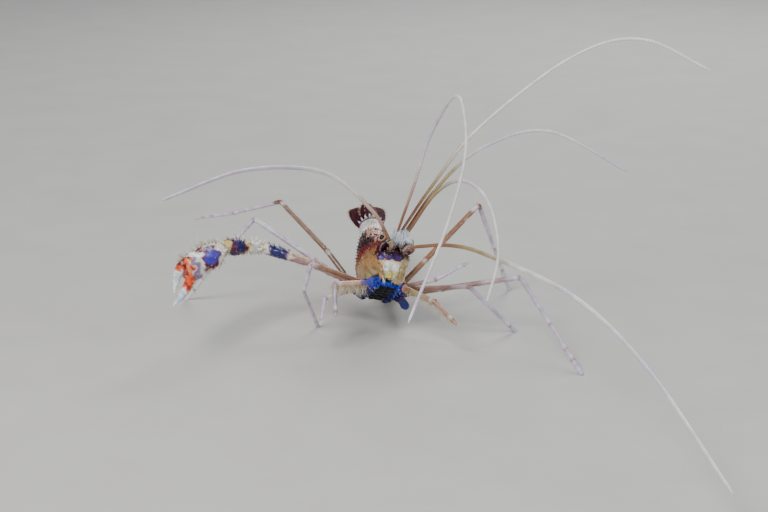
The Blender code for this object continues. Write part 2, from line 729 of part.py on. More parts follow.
def main():
    """Clear the scene and build the shrimp."""
    for item in list(bpy.data.objects):
        bpy.data.objects.remove(item, do_unlink=True)
    make_carapace()
    solid("sternum", sternum_rings(), "blue")
    shell_room = solid("carapace_room", carapace_rings(GAP), "shell")
    keel_room = solid("sternum_room", sternum_rings(GAP), "blue")
    rooms = [shell_room, keel_room]
    make_abdomen()
    make_tail_fan()
    make_eyes([shell_room])
    make_scales([shell_room])
    make_peduncles([shell_room])
    make_flagella()
    for name in LIMBS:
        make_limb(name, rooms)
    for hand, side in ((-1, "right"), (1, "left")):
        make_claw(side, hand, rooms)
    centre_on_floor()


main()
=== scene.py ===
"""Dress the banded boxer shrimp as a life-size museum model: shell, spines, bristles, colours and studio.

Shapes are worked out in millimetres from the floor under the middle of the leg bases, and each mesh is moved
onto the frame as it is made.  The trunk has axes of its own: ahead, left and up.
"""

from __future__ import annotations

import json
import logging
import math
from dataclasses import dataclass, field
from enum import Enum
from typing import ClassVar

import bpy
import numpy as np
from numpy import ndarray as Array
from numpy.random import Generator, default_rng
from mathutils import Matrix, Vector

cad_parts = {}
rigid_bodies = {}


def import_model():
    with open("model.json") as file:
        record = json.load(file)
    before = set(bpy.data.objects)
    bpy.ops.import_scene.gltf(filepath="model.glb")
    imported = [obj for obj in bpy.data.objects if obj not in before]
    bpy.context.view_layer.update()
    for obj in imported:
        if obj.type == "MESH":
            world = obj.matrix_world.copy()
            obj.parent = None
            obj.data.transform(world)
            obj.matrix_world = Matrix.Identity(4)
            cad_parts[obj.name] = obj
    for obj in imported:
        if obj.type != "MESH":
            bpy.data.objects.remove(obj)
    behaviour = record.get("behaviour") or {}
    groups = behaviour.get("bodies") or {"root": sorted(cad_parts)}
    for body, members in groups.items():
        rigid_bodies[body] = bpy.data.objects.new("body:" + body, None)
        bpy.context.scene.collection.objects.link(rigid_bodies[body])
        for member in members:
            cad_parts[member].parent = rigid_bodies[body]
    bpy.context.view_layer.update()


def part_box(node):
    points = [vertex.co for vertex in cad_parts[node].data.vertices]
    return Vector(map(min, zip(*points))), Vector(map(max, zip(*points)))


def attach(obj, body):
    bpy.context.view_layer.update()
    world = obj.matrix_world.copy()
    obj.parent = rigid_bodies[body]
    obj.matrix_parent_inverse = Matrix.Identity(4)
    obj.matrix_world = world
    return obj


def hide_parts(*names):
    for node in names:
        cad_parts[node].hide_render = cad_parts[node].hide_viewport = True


log = logging.getLogger("shrimp")

MM = 0.001
GAP = 0.3
HIP_HEIGHT = 9.5
TRUNK_YAW = 17.0
TRUNK_PITCH = 28.0
TRUNK_ROLL = 14.0
STERNUM_TOP = -0.3
STERNUM_HALF_HEIGHT = 0.75
STERNUM_HALF_WIDTH = 2.3
BAKE_PATCH = 0.003
SHORTEST_THORN = 0.15
FLOOR_ROOM = 0.05


# ---- Numbers and colours ----

def hue(red: float, green: float, blue: float) -> Array:
    """Return a colour given in 0-255 screen values as linear light."""
    share = np.array([red, green, blue]) / 255
    return np.where(share <= 0.04045, share / 12.92, ((share + 0.055) / 1.055) ** 2.4)


TAN = hue(176, 128, 66)
OCHRE = hue(150, 84, 38)
OLIVE = hue(120, 118, 52)
SAND = hue(206, 188, 138)
BONE = hue(226, 214, 190)
CREAM = hue(222, 196, 138)
WHITE = hue(232, 230, 228)
PEARL = hue(194, 186, 190)
LICHEN = hue(176, 176, 150)
SNOW = hue(232, 238, 246)
ICE = hue(158, 204, 228)
LILAC = hue(206, 196, 220)
PLUM = hue(126, 92, 134)
VIOLET = hue(72, 54, 172)
PURPLE = hue(52, 12, 86)
BLUE = hue(30, 62, 190)
NAVY = hue(16, 20, 96)
INK = hue(10, 8, 10)
BLACK_RED = hue(34, 6, 12)
MAROON = hue(54, 12, 24)
CRIMSON = hue(140, 14, 20)
ORANGE = hue(232, 84, 26)
AMBER = hue(236, 150, 70)
# Painted highlight: a tan sheen laid on the right side of the rim round the face.
RIM_HIGHLIGHT = hue(198, 142, 94)
CHESTNUT = hue(176, 126, 84)
YELLOW = hue(206, 186, 84)
GREEN_YELLOW = hue(206, 202, 138)
STRAW = hue(158, 138, 98)
PUTTY = hue(152, 132, 112)
BROWN = hue(146, 104, 74)
UMBER = hue(124, 88, 66)
DRAB = hue(132, 104, 86)
SOOT = hue(60, 40, 30)
MAUVE = hue(154, 122, 118)
ROSE = hue(190, 150, 136)
FLESH = hue(184, 146, 128)
SHELL_PINK = hue(214, 180, 162)


def ramp(value: Array, low: float, high: float) -> Array:
    """Return how far a value has climbed from low (0) to high (1), easing at both ends."""
    share = np.clip((np.asarray(value, float) - low) / (high - low), 0, 1)
    return share * share * (3 - 2 * share)


def hump(value: Array, middle: float, width: float) -> Array:
    """Return a smooth bump that is 1 at the middle and fades over the width."""
    return np.exp(-((np.asarray(value, float) - middle) / width) ** 2)


def window(value: Array, low: float, high: float, edge: float) -> Array:
    """Return 1 between low and high, with soft edges."""
    return ramp(value, low - edge, low + edge) * (1 - ramp(value, high - edge, high + edge))


def blend(under: Array, over: Array, share: Array) -> Array:
    """Return a colour laid over another by a share for each point."""
    share = np.asarray(share, float)[..., None]
    return under * (1 - share) + over * share


def layered(tint: Array, *layers: tuple[Array, Array]) -> Array:
    """Return a colour with more of them laid over it in order.

    Args:
        tint: the colour underneath.
        layers: each colour, with its share for each point.

    Returns:
        A colour for each point.
    """
    for over, share in layers:
        tint = blend(tint, over, share)
    return tint


def unit(vector: Array) -> Array:
    """Return vectors at a length of 1."""
    return vector / np.maximum(np.linalg.norm(vector, axis=-1, keepdims=True), 1e-9)


def wander(places: Array, size: float, seed: int) -> Array:
    """Return smooth noise, mostly between -1 and 1, whose patches are about one size across.

    Args:
        places: the points, with their coordinates last.
        size: how wide a patch is, in the unit of the points.
        seed: the seed of the random draws.

    Returns:
        One value for each point.
    """
    dice = default_rng(seed)
    total = np.zeros(places.shape[:-1])
    for _ in range(7):
        way = unit(dice.normal(size=3)) * 2 * math.pi / size * dice.uniform(0.4, 1.1)
        total += np.sin(places @ way + dice.uniform(0, 2 * math.pi))
    return total / 2.6


# ---- Places ----

def direction(azimuth: float, elevation: float) -> Array:
    """Return the unit vector of an azimuth and an elevation in degrees."""
    turn, lift = math.radians(azimuth), math.radians(elevation)
    return np.array([math.sin(turn) * math.cos(lift), -math.cos(turn) * math.cos(lift), math.sin(lift)])


def rotated(vector: Array, axis: Array, degrees: float) -> Array:
    """Return a vector turned about an axis.

    Args:
        vector: the vector.
        axis: the axis, of any length.
        degrees: the angle.

    Returns:
        The turned vector.
    """
    turn = math.radians(degrees)
    axis = unit(axis)
    along = axis * (vector @ axis)
    return along + (vector - along) * math.cos(turn) + np.cross(axis, vector) * math.sin(turn)


Z = np.array([0.0, 0.0, 1.0])
AHEAD = direction(TRUNK_YAW, TRUNK_PITCH)
LEVEL_LEFT = unit(np.cross(Z, AHEAD))
LEFT = rotated(LEVEL_LEFT, AHEAD, -TRUNK_ROLL)
UP = rotated(np.cross(AHEAD, LEVEL_LEFT), AHEAD, -TRUNK_ROLL)
HIPS = np.array([0.0, 0.0, HIP_HEIGHT])


class Side(Enum):
    """The shrimp's two sides, each with its sign along the trunk's left."""

    RIGHT = -1
    LEFT = 1

    @property
    def word(self) -> str:
        """Return the side as the names of the pieces say it."""
        return self.name.lower()

    def place(self, ahead: float, left: float, up: float) -> Array:
        """Return the place on this side that is so far ahead, outwards and up on the trunk."""
        return on_trunk((ahead, left * self.value, up))


def on_trunk(place: Array) -> Array:
    """Return places given ahead, left and up from the middle of the leg bases."""
    place = np.asarray(place, float)
    return HIPS + place[..., :1] * AHEAD + place[..., 1:2] * LEFT + place[..., 2:3] * UP


def travel(line: Array) -> Array:
    """Return how far each point lies along a line of points."""
    return np.concatenate([[0], np.cumsum(np.linalg.norm(np.diff(line, axis=0), axis=1))])


def at_reach(wanted: Array, reach: Array, line: Array) -> Array:
    """Return the places on a line of points at the wanted reaches, given the reach of each point."""
    return np.stack([np.interp(wanted, reach, line[:, axis]) for axis in range(line.shape[1])], axis=1)


def even_steps(line: Array, count: int) -> Array:
    """Return count + 1 places at equal distances along a line of points.

    Args:
        line: the points of the line.
        count: the number of steps.

    Returns:
        The places, with both ends.
    """
    line = np.asarray(line, float)
    reach = travel(line)
    return at_reach(np.linspace(0, reach[-1], count + 1), reach, line)


def smooth_route(points: tuple, count: int) -> Array:
    """Return count + 1 places, evenly spread along a smooth curve through a few points.

    Args:
        points: the points that the curve passes through.
        count: the number of steps.

    Returns:
        The places, with both ends.
    """
    line = np.asarray(points, float)
    ends = np.vstack([line[0] * 2 - line[1], line, line[-1] * 2 - line[-2]])
    share = (np.arange(16) / 16)[:, None]
    fine = []
    for before, start, end, after in zip(ends, ends[1:], ends[2:], ends[3:]):
        linear = (end - before) * share
        square = (before * 2 - start * 5 + end * 4 - after) * share ** 2
        cube = (start * 3 - before - end * 3 + after) * share ** 3
        fine.append(start + (linear + square + cube) * 0.5)
    fine.append(line[-1:])
    return even_steps(np.vstack(fine), count)


def softened(line: Array, reach: int) -> Array:
    """Return a line of points with its bends rounded over a few points each side, its ends kept.

    Args:
        line: the points of the line.
        reach: how many points on each side weigh in.

    Returns:
        The rounded line, with as many points.
    """
    padded = np.vstack([np.repeat(line[:1], reach, 0), line, np.repeat(line[-1:], reach, 0)])
    weights = np.hanning(2 * reach + 3)[1:-1]
    weights /= weights.sum()
    soft = np.stack([np.convolve(padded[:, axis], weights, "valid") for axis in range(3)], axis=1)
    keep = ramp(np.minimum(np.arange(len(line)), np.arange(len(line))[::-1]), 0, reach)[:, None]
    return line * (1 - keep) + soft * keep


def carried_frames(line: Array, first_side: Array) -> tuple[Array, Array, Array]:
    """Return tangents, sides and rises along a line, turned as little as possible.

    Args:
        line: the points of the line.
        first_side: the side direction wanted at its start.

    Returns:
        Three arrays with one unit vector for each point.
    """
    runs = unit(np.diff(line, axis=0))
    tangents = unit(np.vstack([runs[:1], runs[:-1] + runs[1:], runs[-1:]]))
    sides = np.empty_like(line)
    side = first_side
    for spot, tangent in enumerate(tangents):
        side = unit(side - tangent * (side @ tangent))
        sides[spot] = side
    return tangents, sides, np.cross(tangents, sides)


def level_side_of(line: Array) -> Array:
    """Return a level direction square to the start of a line."""
    across = np.cross(unit(line[1] - line[0]), Z)
    return np.array([1.0, 0.0, 0.0]) if np.linalg.norm(across) < 0.1 else unit(across)


def ring_angles(around: int) -> Array:
    """Return the angles of the points round a ring, in radians from its side."""
    return 2 * math.pi * (np.arange(around) + 0.5) / around


def ovals(centres: Array, sides: Array, rises: Array, half_widths: Array,
          half_heights: Array, around: int, belly: float = 1.0) -> Array:
    """Return rings of points round a row of centres.

    Args:
        centres: the middle of each ring.
        sides: the side direction of each ring, or one for all.
        rises: the rise direction of each ring, or one for all.
        half_widths: half of each ring's width.
        half_heights: half of each ring's height.
        around: the number of points round a ring.
        belly: the share of the height that is kept below the centre.

    Returns:
        An array of rings, points and coordinates.
    """
    angles = ring_angles(around)
    rows = len(centres)
    wide = np.broadcast_to(half_widths, (rows,))[:, None] * np.cos(angles)
    tall = np.broadcast_to(half_heights, (rows,))[:, None] * np.sin(angles)
    tall = np.where(tall < 0, tall * belly, tall)
    sides = np.broadcast_to(sides, (rows, 3))
    rises = np.broadcast_to(rises, (rows, 3))
    return centres[:, None] + sides[:, None] * wide[..., None] + rises[:, None] * tall[..., None]


def outward(rows: Array) -> Array:
    """Return the outward direction at every point of a loft.

    Args:
        rows: the loft's points, ring by ring.

    Returns:
        A unit direction for each point.
    """
    around = np.roll(rows, -1, axis=1) - np.roll(rows, 1, axis=1)
    along = np.gradient(rows, axis=0)
    normals = unit(np.cross(around, along))
    away = rows - rows.mean(axis=1, keepdims=True)
    facing = np.sign(np.sum(normals * away))
    return normals * (facing if facing else 1.0)


def roughened(rows: Array, lift: float, size: float, seed: int) -> Array:
    """Return a loft with smooth unevenness of a height and a patch size on its surface."""
    return rows + outward(rows) * (lift * wander(rows, size, seed))[..., None]


# ---- Meshes ----

class Skin:
    """The points, faces and colours gathered for one piece."""

    shift: ClassVar[Array] = np.zeros(3)

    def __init__(self) -> None:
        """Start with nothing."""
        self.points: list[Array] = []
        self.tints: list[Array] = []
        self.patches: list[Array] = []
        self.faces: list[list[int]] = []
        self.count = 0

    def _keep(self, rows: Array, tint: Array) -> Array:
        """Store points with their colours and return their numbers in the same layout.

        Args:
            rows: the points, in any layout.
            tint: their colours, or one that they share.

        Returns:
            The points' numbers.
        """
        flat = rows.reshape(-1, 3)
        index = np.arange(len(flat)).reshape(rows.shape[:-1]) + self.count
        self.points.append(flat)
        self.tints.append(np.broadcast_to(tint, rows.shape).reshape(-1, 3))
        self.count += len(flat)
        return index

    def loft(self, rows: Array, tint: Array) -> None:
        """Skin a row of rings into one closed body.

        Args:
            rows: rings, points and coordinates.
            tint: a colour for every point, or anything that spreads to that.
        """
        index = self._keep(rows, tint)
        after = np.roll(index, -1, axis=1)
        quads = np.stack([index[:-1], after[:-1], after[1:], index[1:]], axis=-1).reshape(-1, 4)
        local = rows.reshape(-1, 3) - rows.mean(axis=(0, 1))
        corners = local[quads - index.min()]
        normals = np.cross(corners[:, 2] - corners[:, 0], corners[:, 3] - corners[:, 1])
        volume = np.sum(corners.mean(axis=1) * normals)
        first, last = index[0][::-1], index[-1]
        if volume < 0:
            quads, first, last = quads[:, ::-1], first[::-1], last[::-1]
        self.faces += quads.tolist()
        self.faces += [first.tolist(), last.tolist()]

    def thorns(self, roots: Array, ways: Array, lengths: Array, radii: Array,
               root_tints: Array, tip_tints: Array, sides: int = 6, steps: int = 3,
               bows: Array | float = 0.0, unwrap: Array | None = None) -> None:
        """Add tapered spines or bristles, cut short where they would reach the floor.

        Args:
            roots: the place each grows from.
            ways: the direction of each.
            lengths: the length of each.
            radii: the radius of each at its root.
            root_tints: the colour at the roots.
            tip_tints: the colour at the tips.
            sides: the number of points round each.
            steps: the number of lengths that each is made of.
            bows: how far each tip bends away, as a vector for each length of the spine.
            unwrap: the place of each root on its parent's unwrapped shape, for a coat piece.
        """
        whole = len(roots)
        ways = unit(np.broadcast_to(ways, (whole, 3)))
        room = np.maximum(roots[:, 2] - FLOOR_ROOM, 0.0) / np.maximum(-ways[:, 2], 1e-3)
        lengths = np.minimum(np.broadcast_to(lengths, (whole,)), room)
        keep = lengths > SHORTEST_THORN
        roots, ways, lengths = roots[keep], ways[keep], lengths[keep]
        radii = np.broadcast_to(radii, (whole,))[keep]
        bows, root_tints, tip_tints = (np.broadcast_to(each, (whole, 3))[keep]
                                       for each in (bows, root_tints, tip_tints))
        share = np.linspace(0, 1, steps + 1)
        other = np.where(np.abs(ways[:, 2:3]) > 0.9, np.array([1.0, 0, 0]), Z)
        across = unit(np.cross(ways, other))
        third = np.cross(ways, across)
        angles = 2 * math.pi * np.arange(sides) / sides
        spokes = across[:, None] * np.cos(angles)[:, None] + third[:, None] * np.sin(angles)[:, None]
        reach = (share - 0.08)[None, :, None] * lengths[:, None, None]
        spine = roots[:, None] + ways[:, None] * reach
        spine = spine + bows[:, None] * (share ** 2)[None, :, None] * lengths[:, None, None]
        thick = radii[:, None] * ((1 - share) ** 0.8 + 0.05)[None]
        rows = spine[:, :, None] + spokes[:, None] * thick[..., None, None]
        tint = blend(root_tints[:, None], tip_tints[:, None], ramp(share, 0.1, 0.8)[None])
        index = self._keep(rows, tint[:, :, None])
        after = np.roll(index, -1, axis=2)
        quads = np.stack([index[:, :-1], after[:, :-1], after[:, 1:], index[:, 1:]], axis=-1)
        self.faces += quads.reshape(-1, 4).tolist()
        self.faces += index[:, 0, ::-1].tolist()
        self.faces += index[:, -1].tolist()
        if unwrap is not None:
            patch = np.stack(np.broadcast_arrays(np.arange(sides)[None, :] / sides, share[:, None]), axis=-1)
            spread = unwrap[keep][:, None, None] * (1 - BAKE_PATCH) + patch[None] * BAKE_PATCH
            self.patches.append(spread.reshape(-1, 2))

    def hairs(self, rows: Array, spots: tuple[Array, Array, Array], ways: Array, lengths: Array,
              radius: float, tints: tuple[Array, Array]) -> None:
        """Add hairs that grow on a loft, each baked from the point under it.

        Args:
            rows: the loft's rings, points and coordinates.
            spots: the row, the column and the share of the length of each.
            ways: the direction of each.
            lengths: the length of each.
            radius: their radius at the root.
            tints: the colours at the root and the tip.
        """
        row, column, share = spots
        self.thorns(rows[row, column], ways, lengths, radius, *tints, sides=4,
                    unwrap=np.stack([column / rows.shape[1], share], axis=1))

    def piece(self, name: str, finish: Finish, nodes: tuple[str, ...] = ()) -> None:
        """Make the object, hand it to the frame and report it.

        Args:
            name: the piece's name.
            finish: what its surface is made of.
            nodes: the frame's nodes that it stands for.
        """
        points = (np.vstack(self.points) + Skin.shift) * MM
        mesh = bpy.data.meshes.new(name)
        mesh.from_pydata(points.tolist(), [], self.faces)
        mesh.shade_smooth()
        tints = np.ones((self.count, 4), dtype=np.float32)
        tints[:, :3] = np.clip(np.vstack(self.tints), 0, 1)
        mesh.attributes.new("Tint", "FLOAT_COLOR", "POINT").data.foreach_set("color", tints.ravel())
        if self.patches:
            corners = np.empty(len(mesh.loops), dtype=np.int32)
            mesh.loops.foreach_get("vertex_index", corners)
            places = np.vstack(self.patches)[corners].astype(np.float32)
            mesh.uv_layers.new(name="OFBake").data.foreach_set("uv", places.ravel())
        mesh.materials.append(finish.material())
        item = bpy.data.objects.new(name, mesh)
        bpy.context.scene.collection.objects.link(item)
        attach(item, "root")
        if nodes:
            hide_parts(*nodes)
        log.info("%s: %d faces", name, len(self.faces))


@dataclass
class Surface:
    """A loft that thorns and hairs grow on: its rows, outward directions, tangents and colours."""

    rows: Array
    normals: Array
    tangents: Array
    tint: Array | None = None

    @classmethod
    def along(cls, line: Array, radius: Array, around: int) -> Surface:
        """Return the surface of a round tube along a line.

        Args:
            line: the tube's centre line.
            radius: its radius at each point of the line.
            around: the number of points round a ring.

        Returns:
            The surface, without colours.
        """
        tangents, sides, rises = carried_frames(line, level_side_of(line))
        rows = ovals(line, sides, rises, radius, radius, around)
        return cls(rows, outward(rows), tangents)

    def ways(self, row: Array, column: Array, out: float, on: float) -> Array:
        """Return directions at some of its points, so much outward and so much along the surface."""
        return self.normals[row, column] * out + self.tangents[row] * on

    def thorns(self, skin: Skin, row: Array, column: Array, ways: Array, lengths: Array, radii: Array,
               tips: Array, **more: Array | int) -> None:
        """Add thorns at some of its points, with its own colours at their roots.

        Args:
            skin: the skin that takes them.
            row: the row each grows from.
            column: its place round that row.
            ways: the direction of each.
            lengths: the length of each.
            radii: the radius of each at its root.
            tips: the colour at the tips.
            more: anything else that a skin's thorns take.
        """
        skin.thorns(self.rows[row, column], ways, lengths, radii, self.tint[row, column], tips, **more)

    def spots(self, span: tuple[float, float], count: int, dice: Generator) -> tuple[Array, Array, Array]:
        """Return rows and columns of points scattered over a span of the length, and their shares of it.

        Args:
            span: the part of the length that is used, from 0 to 1.
            count: the number of points.
            dice: the random generator.

        Returns:
            The rows, the columns and the shares.
        """
        rings, girth = self.rows.shape[:2]
        share = dice.uniform(*span, count)
        return (share * (rings - 1)).astype(int), dice.integers(0, girth, count), share


# ---- Finishes ----

class NodeGraph:
    """A new material's node tree, with short ways to add nodes and fill their sockets."""

    def __init__(self, name: str) -> None:
        """Start a material with a Principled shader and the object's own coordinates.

        Args:
            name: the material's name.
        """
        self.material = bpy.data.materials.new(name)
        self.material.use_nodes = True
        self.tree = self.material.node_tree
        self.shader = self.tree.nodes["Principled BSDF"]
        self.where = self.add("ShaderNodeTexCoord", "Object", {})

    def fill(self, node: bpy.types.Node, inputs: dict) -> None:
        """Link the inputs that are given as sockets and set the others.

        Args:
            node: the node.
            inputs: a socket or a value for each input.
        """
        for key, value in inputs.items():
            if isinstance(value, bpy.types.NodeSocket):
                self.tree.links.new(value, node.inputs[key])
            else:
                node.inputs[key].default_value = value

    def add(self, kind: str, output: str | int, inputs: dict, **choices: str) -> bpy.types.NodeSocket:
        """Add a node.

        Args:
            kind: Blender's name for the node.
            output: the output wanted from it.
            inputs: a value or a socket for each input that isn't left as it is.
            choices: the node's own settings.

        Returns:
            The output's socket.
        """
        node = self.tree.nodes.new(kind)
        for key, value in choices.items():
            setattr(node, key, value)
        self.fill(node, inputs)
        return node.outputs[output]

    def noise(self, size: float, detail: float) -> bpy.types.NodeSocket:
        """Return the value of a noise whose patches are about one size across, in millimetres."""
        return self.add("ShaderNodeTexNoise", "Fac",
                        {"Scale": 1 / (size * MM), "Detail": detail, "Vector": self.where})

    def mapped(self, value: bpy.types.NodeSocket, span: tuple[float, float],
               result: tuple[float, float]) -> bpy.types.NodeSocket:
        """Return a value's span spread over another.

        Args:
            value: the value's socket.
            span: its lowest and highest value.
            result: what these two become.

        Returns:
            The socket with the result.
        """
        return self.add("ShaderNodeMapRange", "Result",
                        {"Value": value, "From Min": span[0], "From Max": span[1], "To Min": result[0],
                         "To Max": result[1]})

    def mix(self, share: bpy.types.NodeSocket, under: bpy.types.NodeSocket | tuple,
            over: bpy.types.NodeSocket | tuple) -> bpy.types.NodeSocket:
        """Return one colour laid over another by a share."""
        return self.add("ShaderNodeMix", 2, {"Factor": share, 6: under, 7: over}, data_type="RGBA")


NOISE_SPAN = (0.3, 0.7)


@dataclass(frozen=True)
class Finish:
    """A shell surface: its zone colours broken up by mottling and pores, with gloss, relief and depth.

    Sizes are in millimetres.
    """

    name: str
    patch: float = 1.2
    mottle: float = 0.3
    grain: float = 0.16
    speck: float = 0.0
    speck_spacing: float = 0.55
    relief: float = 0.03
    rough: tuple[float, float] = (0.28, 0.46)
    coat: float = 0.3
    coat_rough: float = 0.15
    depth: float = 0.25
    bend: float = 1.5
    scatter: tuple[float, float, float] = (1.0, 0.5, 0.3)

    def material(self) -> bpy.types.Material:
        """Return the material, made once.

        Returns:
            The material.
        """
        found = bpy.data.materials.get(self.name)
        if found:
            return found
        graph = NodeGraph(self.name)
        zones = graph.add("ShaderNodeAttribute", "Color", {}, attribute_name="Tint")
        broad, fine = graph.noise(self.patch, 4.0), graph.noise(self.grain, 3.0)
        colour = self._uneven(graph, self._uneven(graph, zones, broad, self.mottle), fine, self.mottle * 0.7)
        if self.speck:
            cells = graph.add("ShaderNodeTexVoronoi", "Distance",
                              {"Scale": 1 / (self.speck_spacing * MM), "Vector": graph.where})
            dots = graph.mapped(cells, (0.2, 0.3), (self.speck, 0.0))
            colour = graph.mix(dots, colour, (*BONE, 1.0))
        height = graph.add("ShaderNodeMath", "Value", {0: broad, 1: 0.4, 2: fine}, operation="MULTIPLY_ADD")
        graph.fill(graph.shader, {
            "Base Color": colour,
            "Roughness": graph.mapped(fine, NOISE_SPAN, self.rough),
            "Normal": graph.add("ShaderNodeBump", "Normal",
                                {"Distance": self.relief * MM, "Strength": 0.8, "Height": height}),
            "Coat Weight": self.coat,
            "Coat Roughness": self.coat_rough,
            "IOR": self.bend,
            "Subsurface Weight": self.depth,
            "Subsurface Radius": self.scatter,
            "Subsurface Scale": MM,
        })
        return graph.material

    def _uneven(self, graph: NodeGraph, colour: bpy.types.NodeSocket, noise: bpy.types.NodeSocket,
                amount: float) -> bpy.types.NodeSocket:
        """Return a colour made darker and lighter by a noise."""
        scale = graph.mapped(noise, NOISE_SPAN, (1 - amount, 1 + amount))
        return graph.add("ShaderNodeVectorMath", "Vector", {0: colour, "Scale": scale}, operation="SCALE")


SHELL = Finish("shell_finish", relief=0.05, coat=0.12, bend=1.42)
BANDED = Finish("banded_shell_finish", patch=0.9, speck=0.04, relief=0.06, coat=0.12, bend=1.42)
TAIL = Finish("tail_finish", mottle=0.4, relief=0.05, rough=(0.55, 0.75), coat=0.0, depth=0.0, bend=1.22)
LEG_BASE = Finish("leg_base_finish", patch=0.7, mottle=0.4, speck=0.03, relief=0.06, coat=0.05, depth=0.1,
                  bend=1.25)
LIMB = Finish("limb_finish", patch=1.6, mottle=0.22, grain=0.14, depth=0.4)
CLAW = Finish("claw_finish", patch=1.0, mottle=0.22, grain=0.2, speck=0.04, relief=0.06, coat=0.15, depth=0.2)
FEELER = Finish("feeler_finish", patch=2.5, mottle=0.14, grain=0.12, relief=0.02, rough=(0.35, 0.5),
                depth=0.4)
CORNEA = Finish("cornea_finish", patch=0.5, mottle=0.4, grain=0.07, relief=0.01, rough=(0.12, 0.2), coat=0.25,
                coat_rough=0.05, depth=0.0, bend=1.35)
BRISTLE = Finish("bristle_finish", patch=1.5, mottle=0.12, grain=0.1, relief=0.0, rough=(0.4, 0.6), coat=0.0,
                 depth=0.2)


# ---- Trunk ----

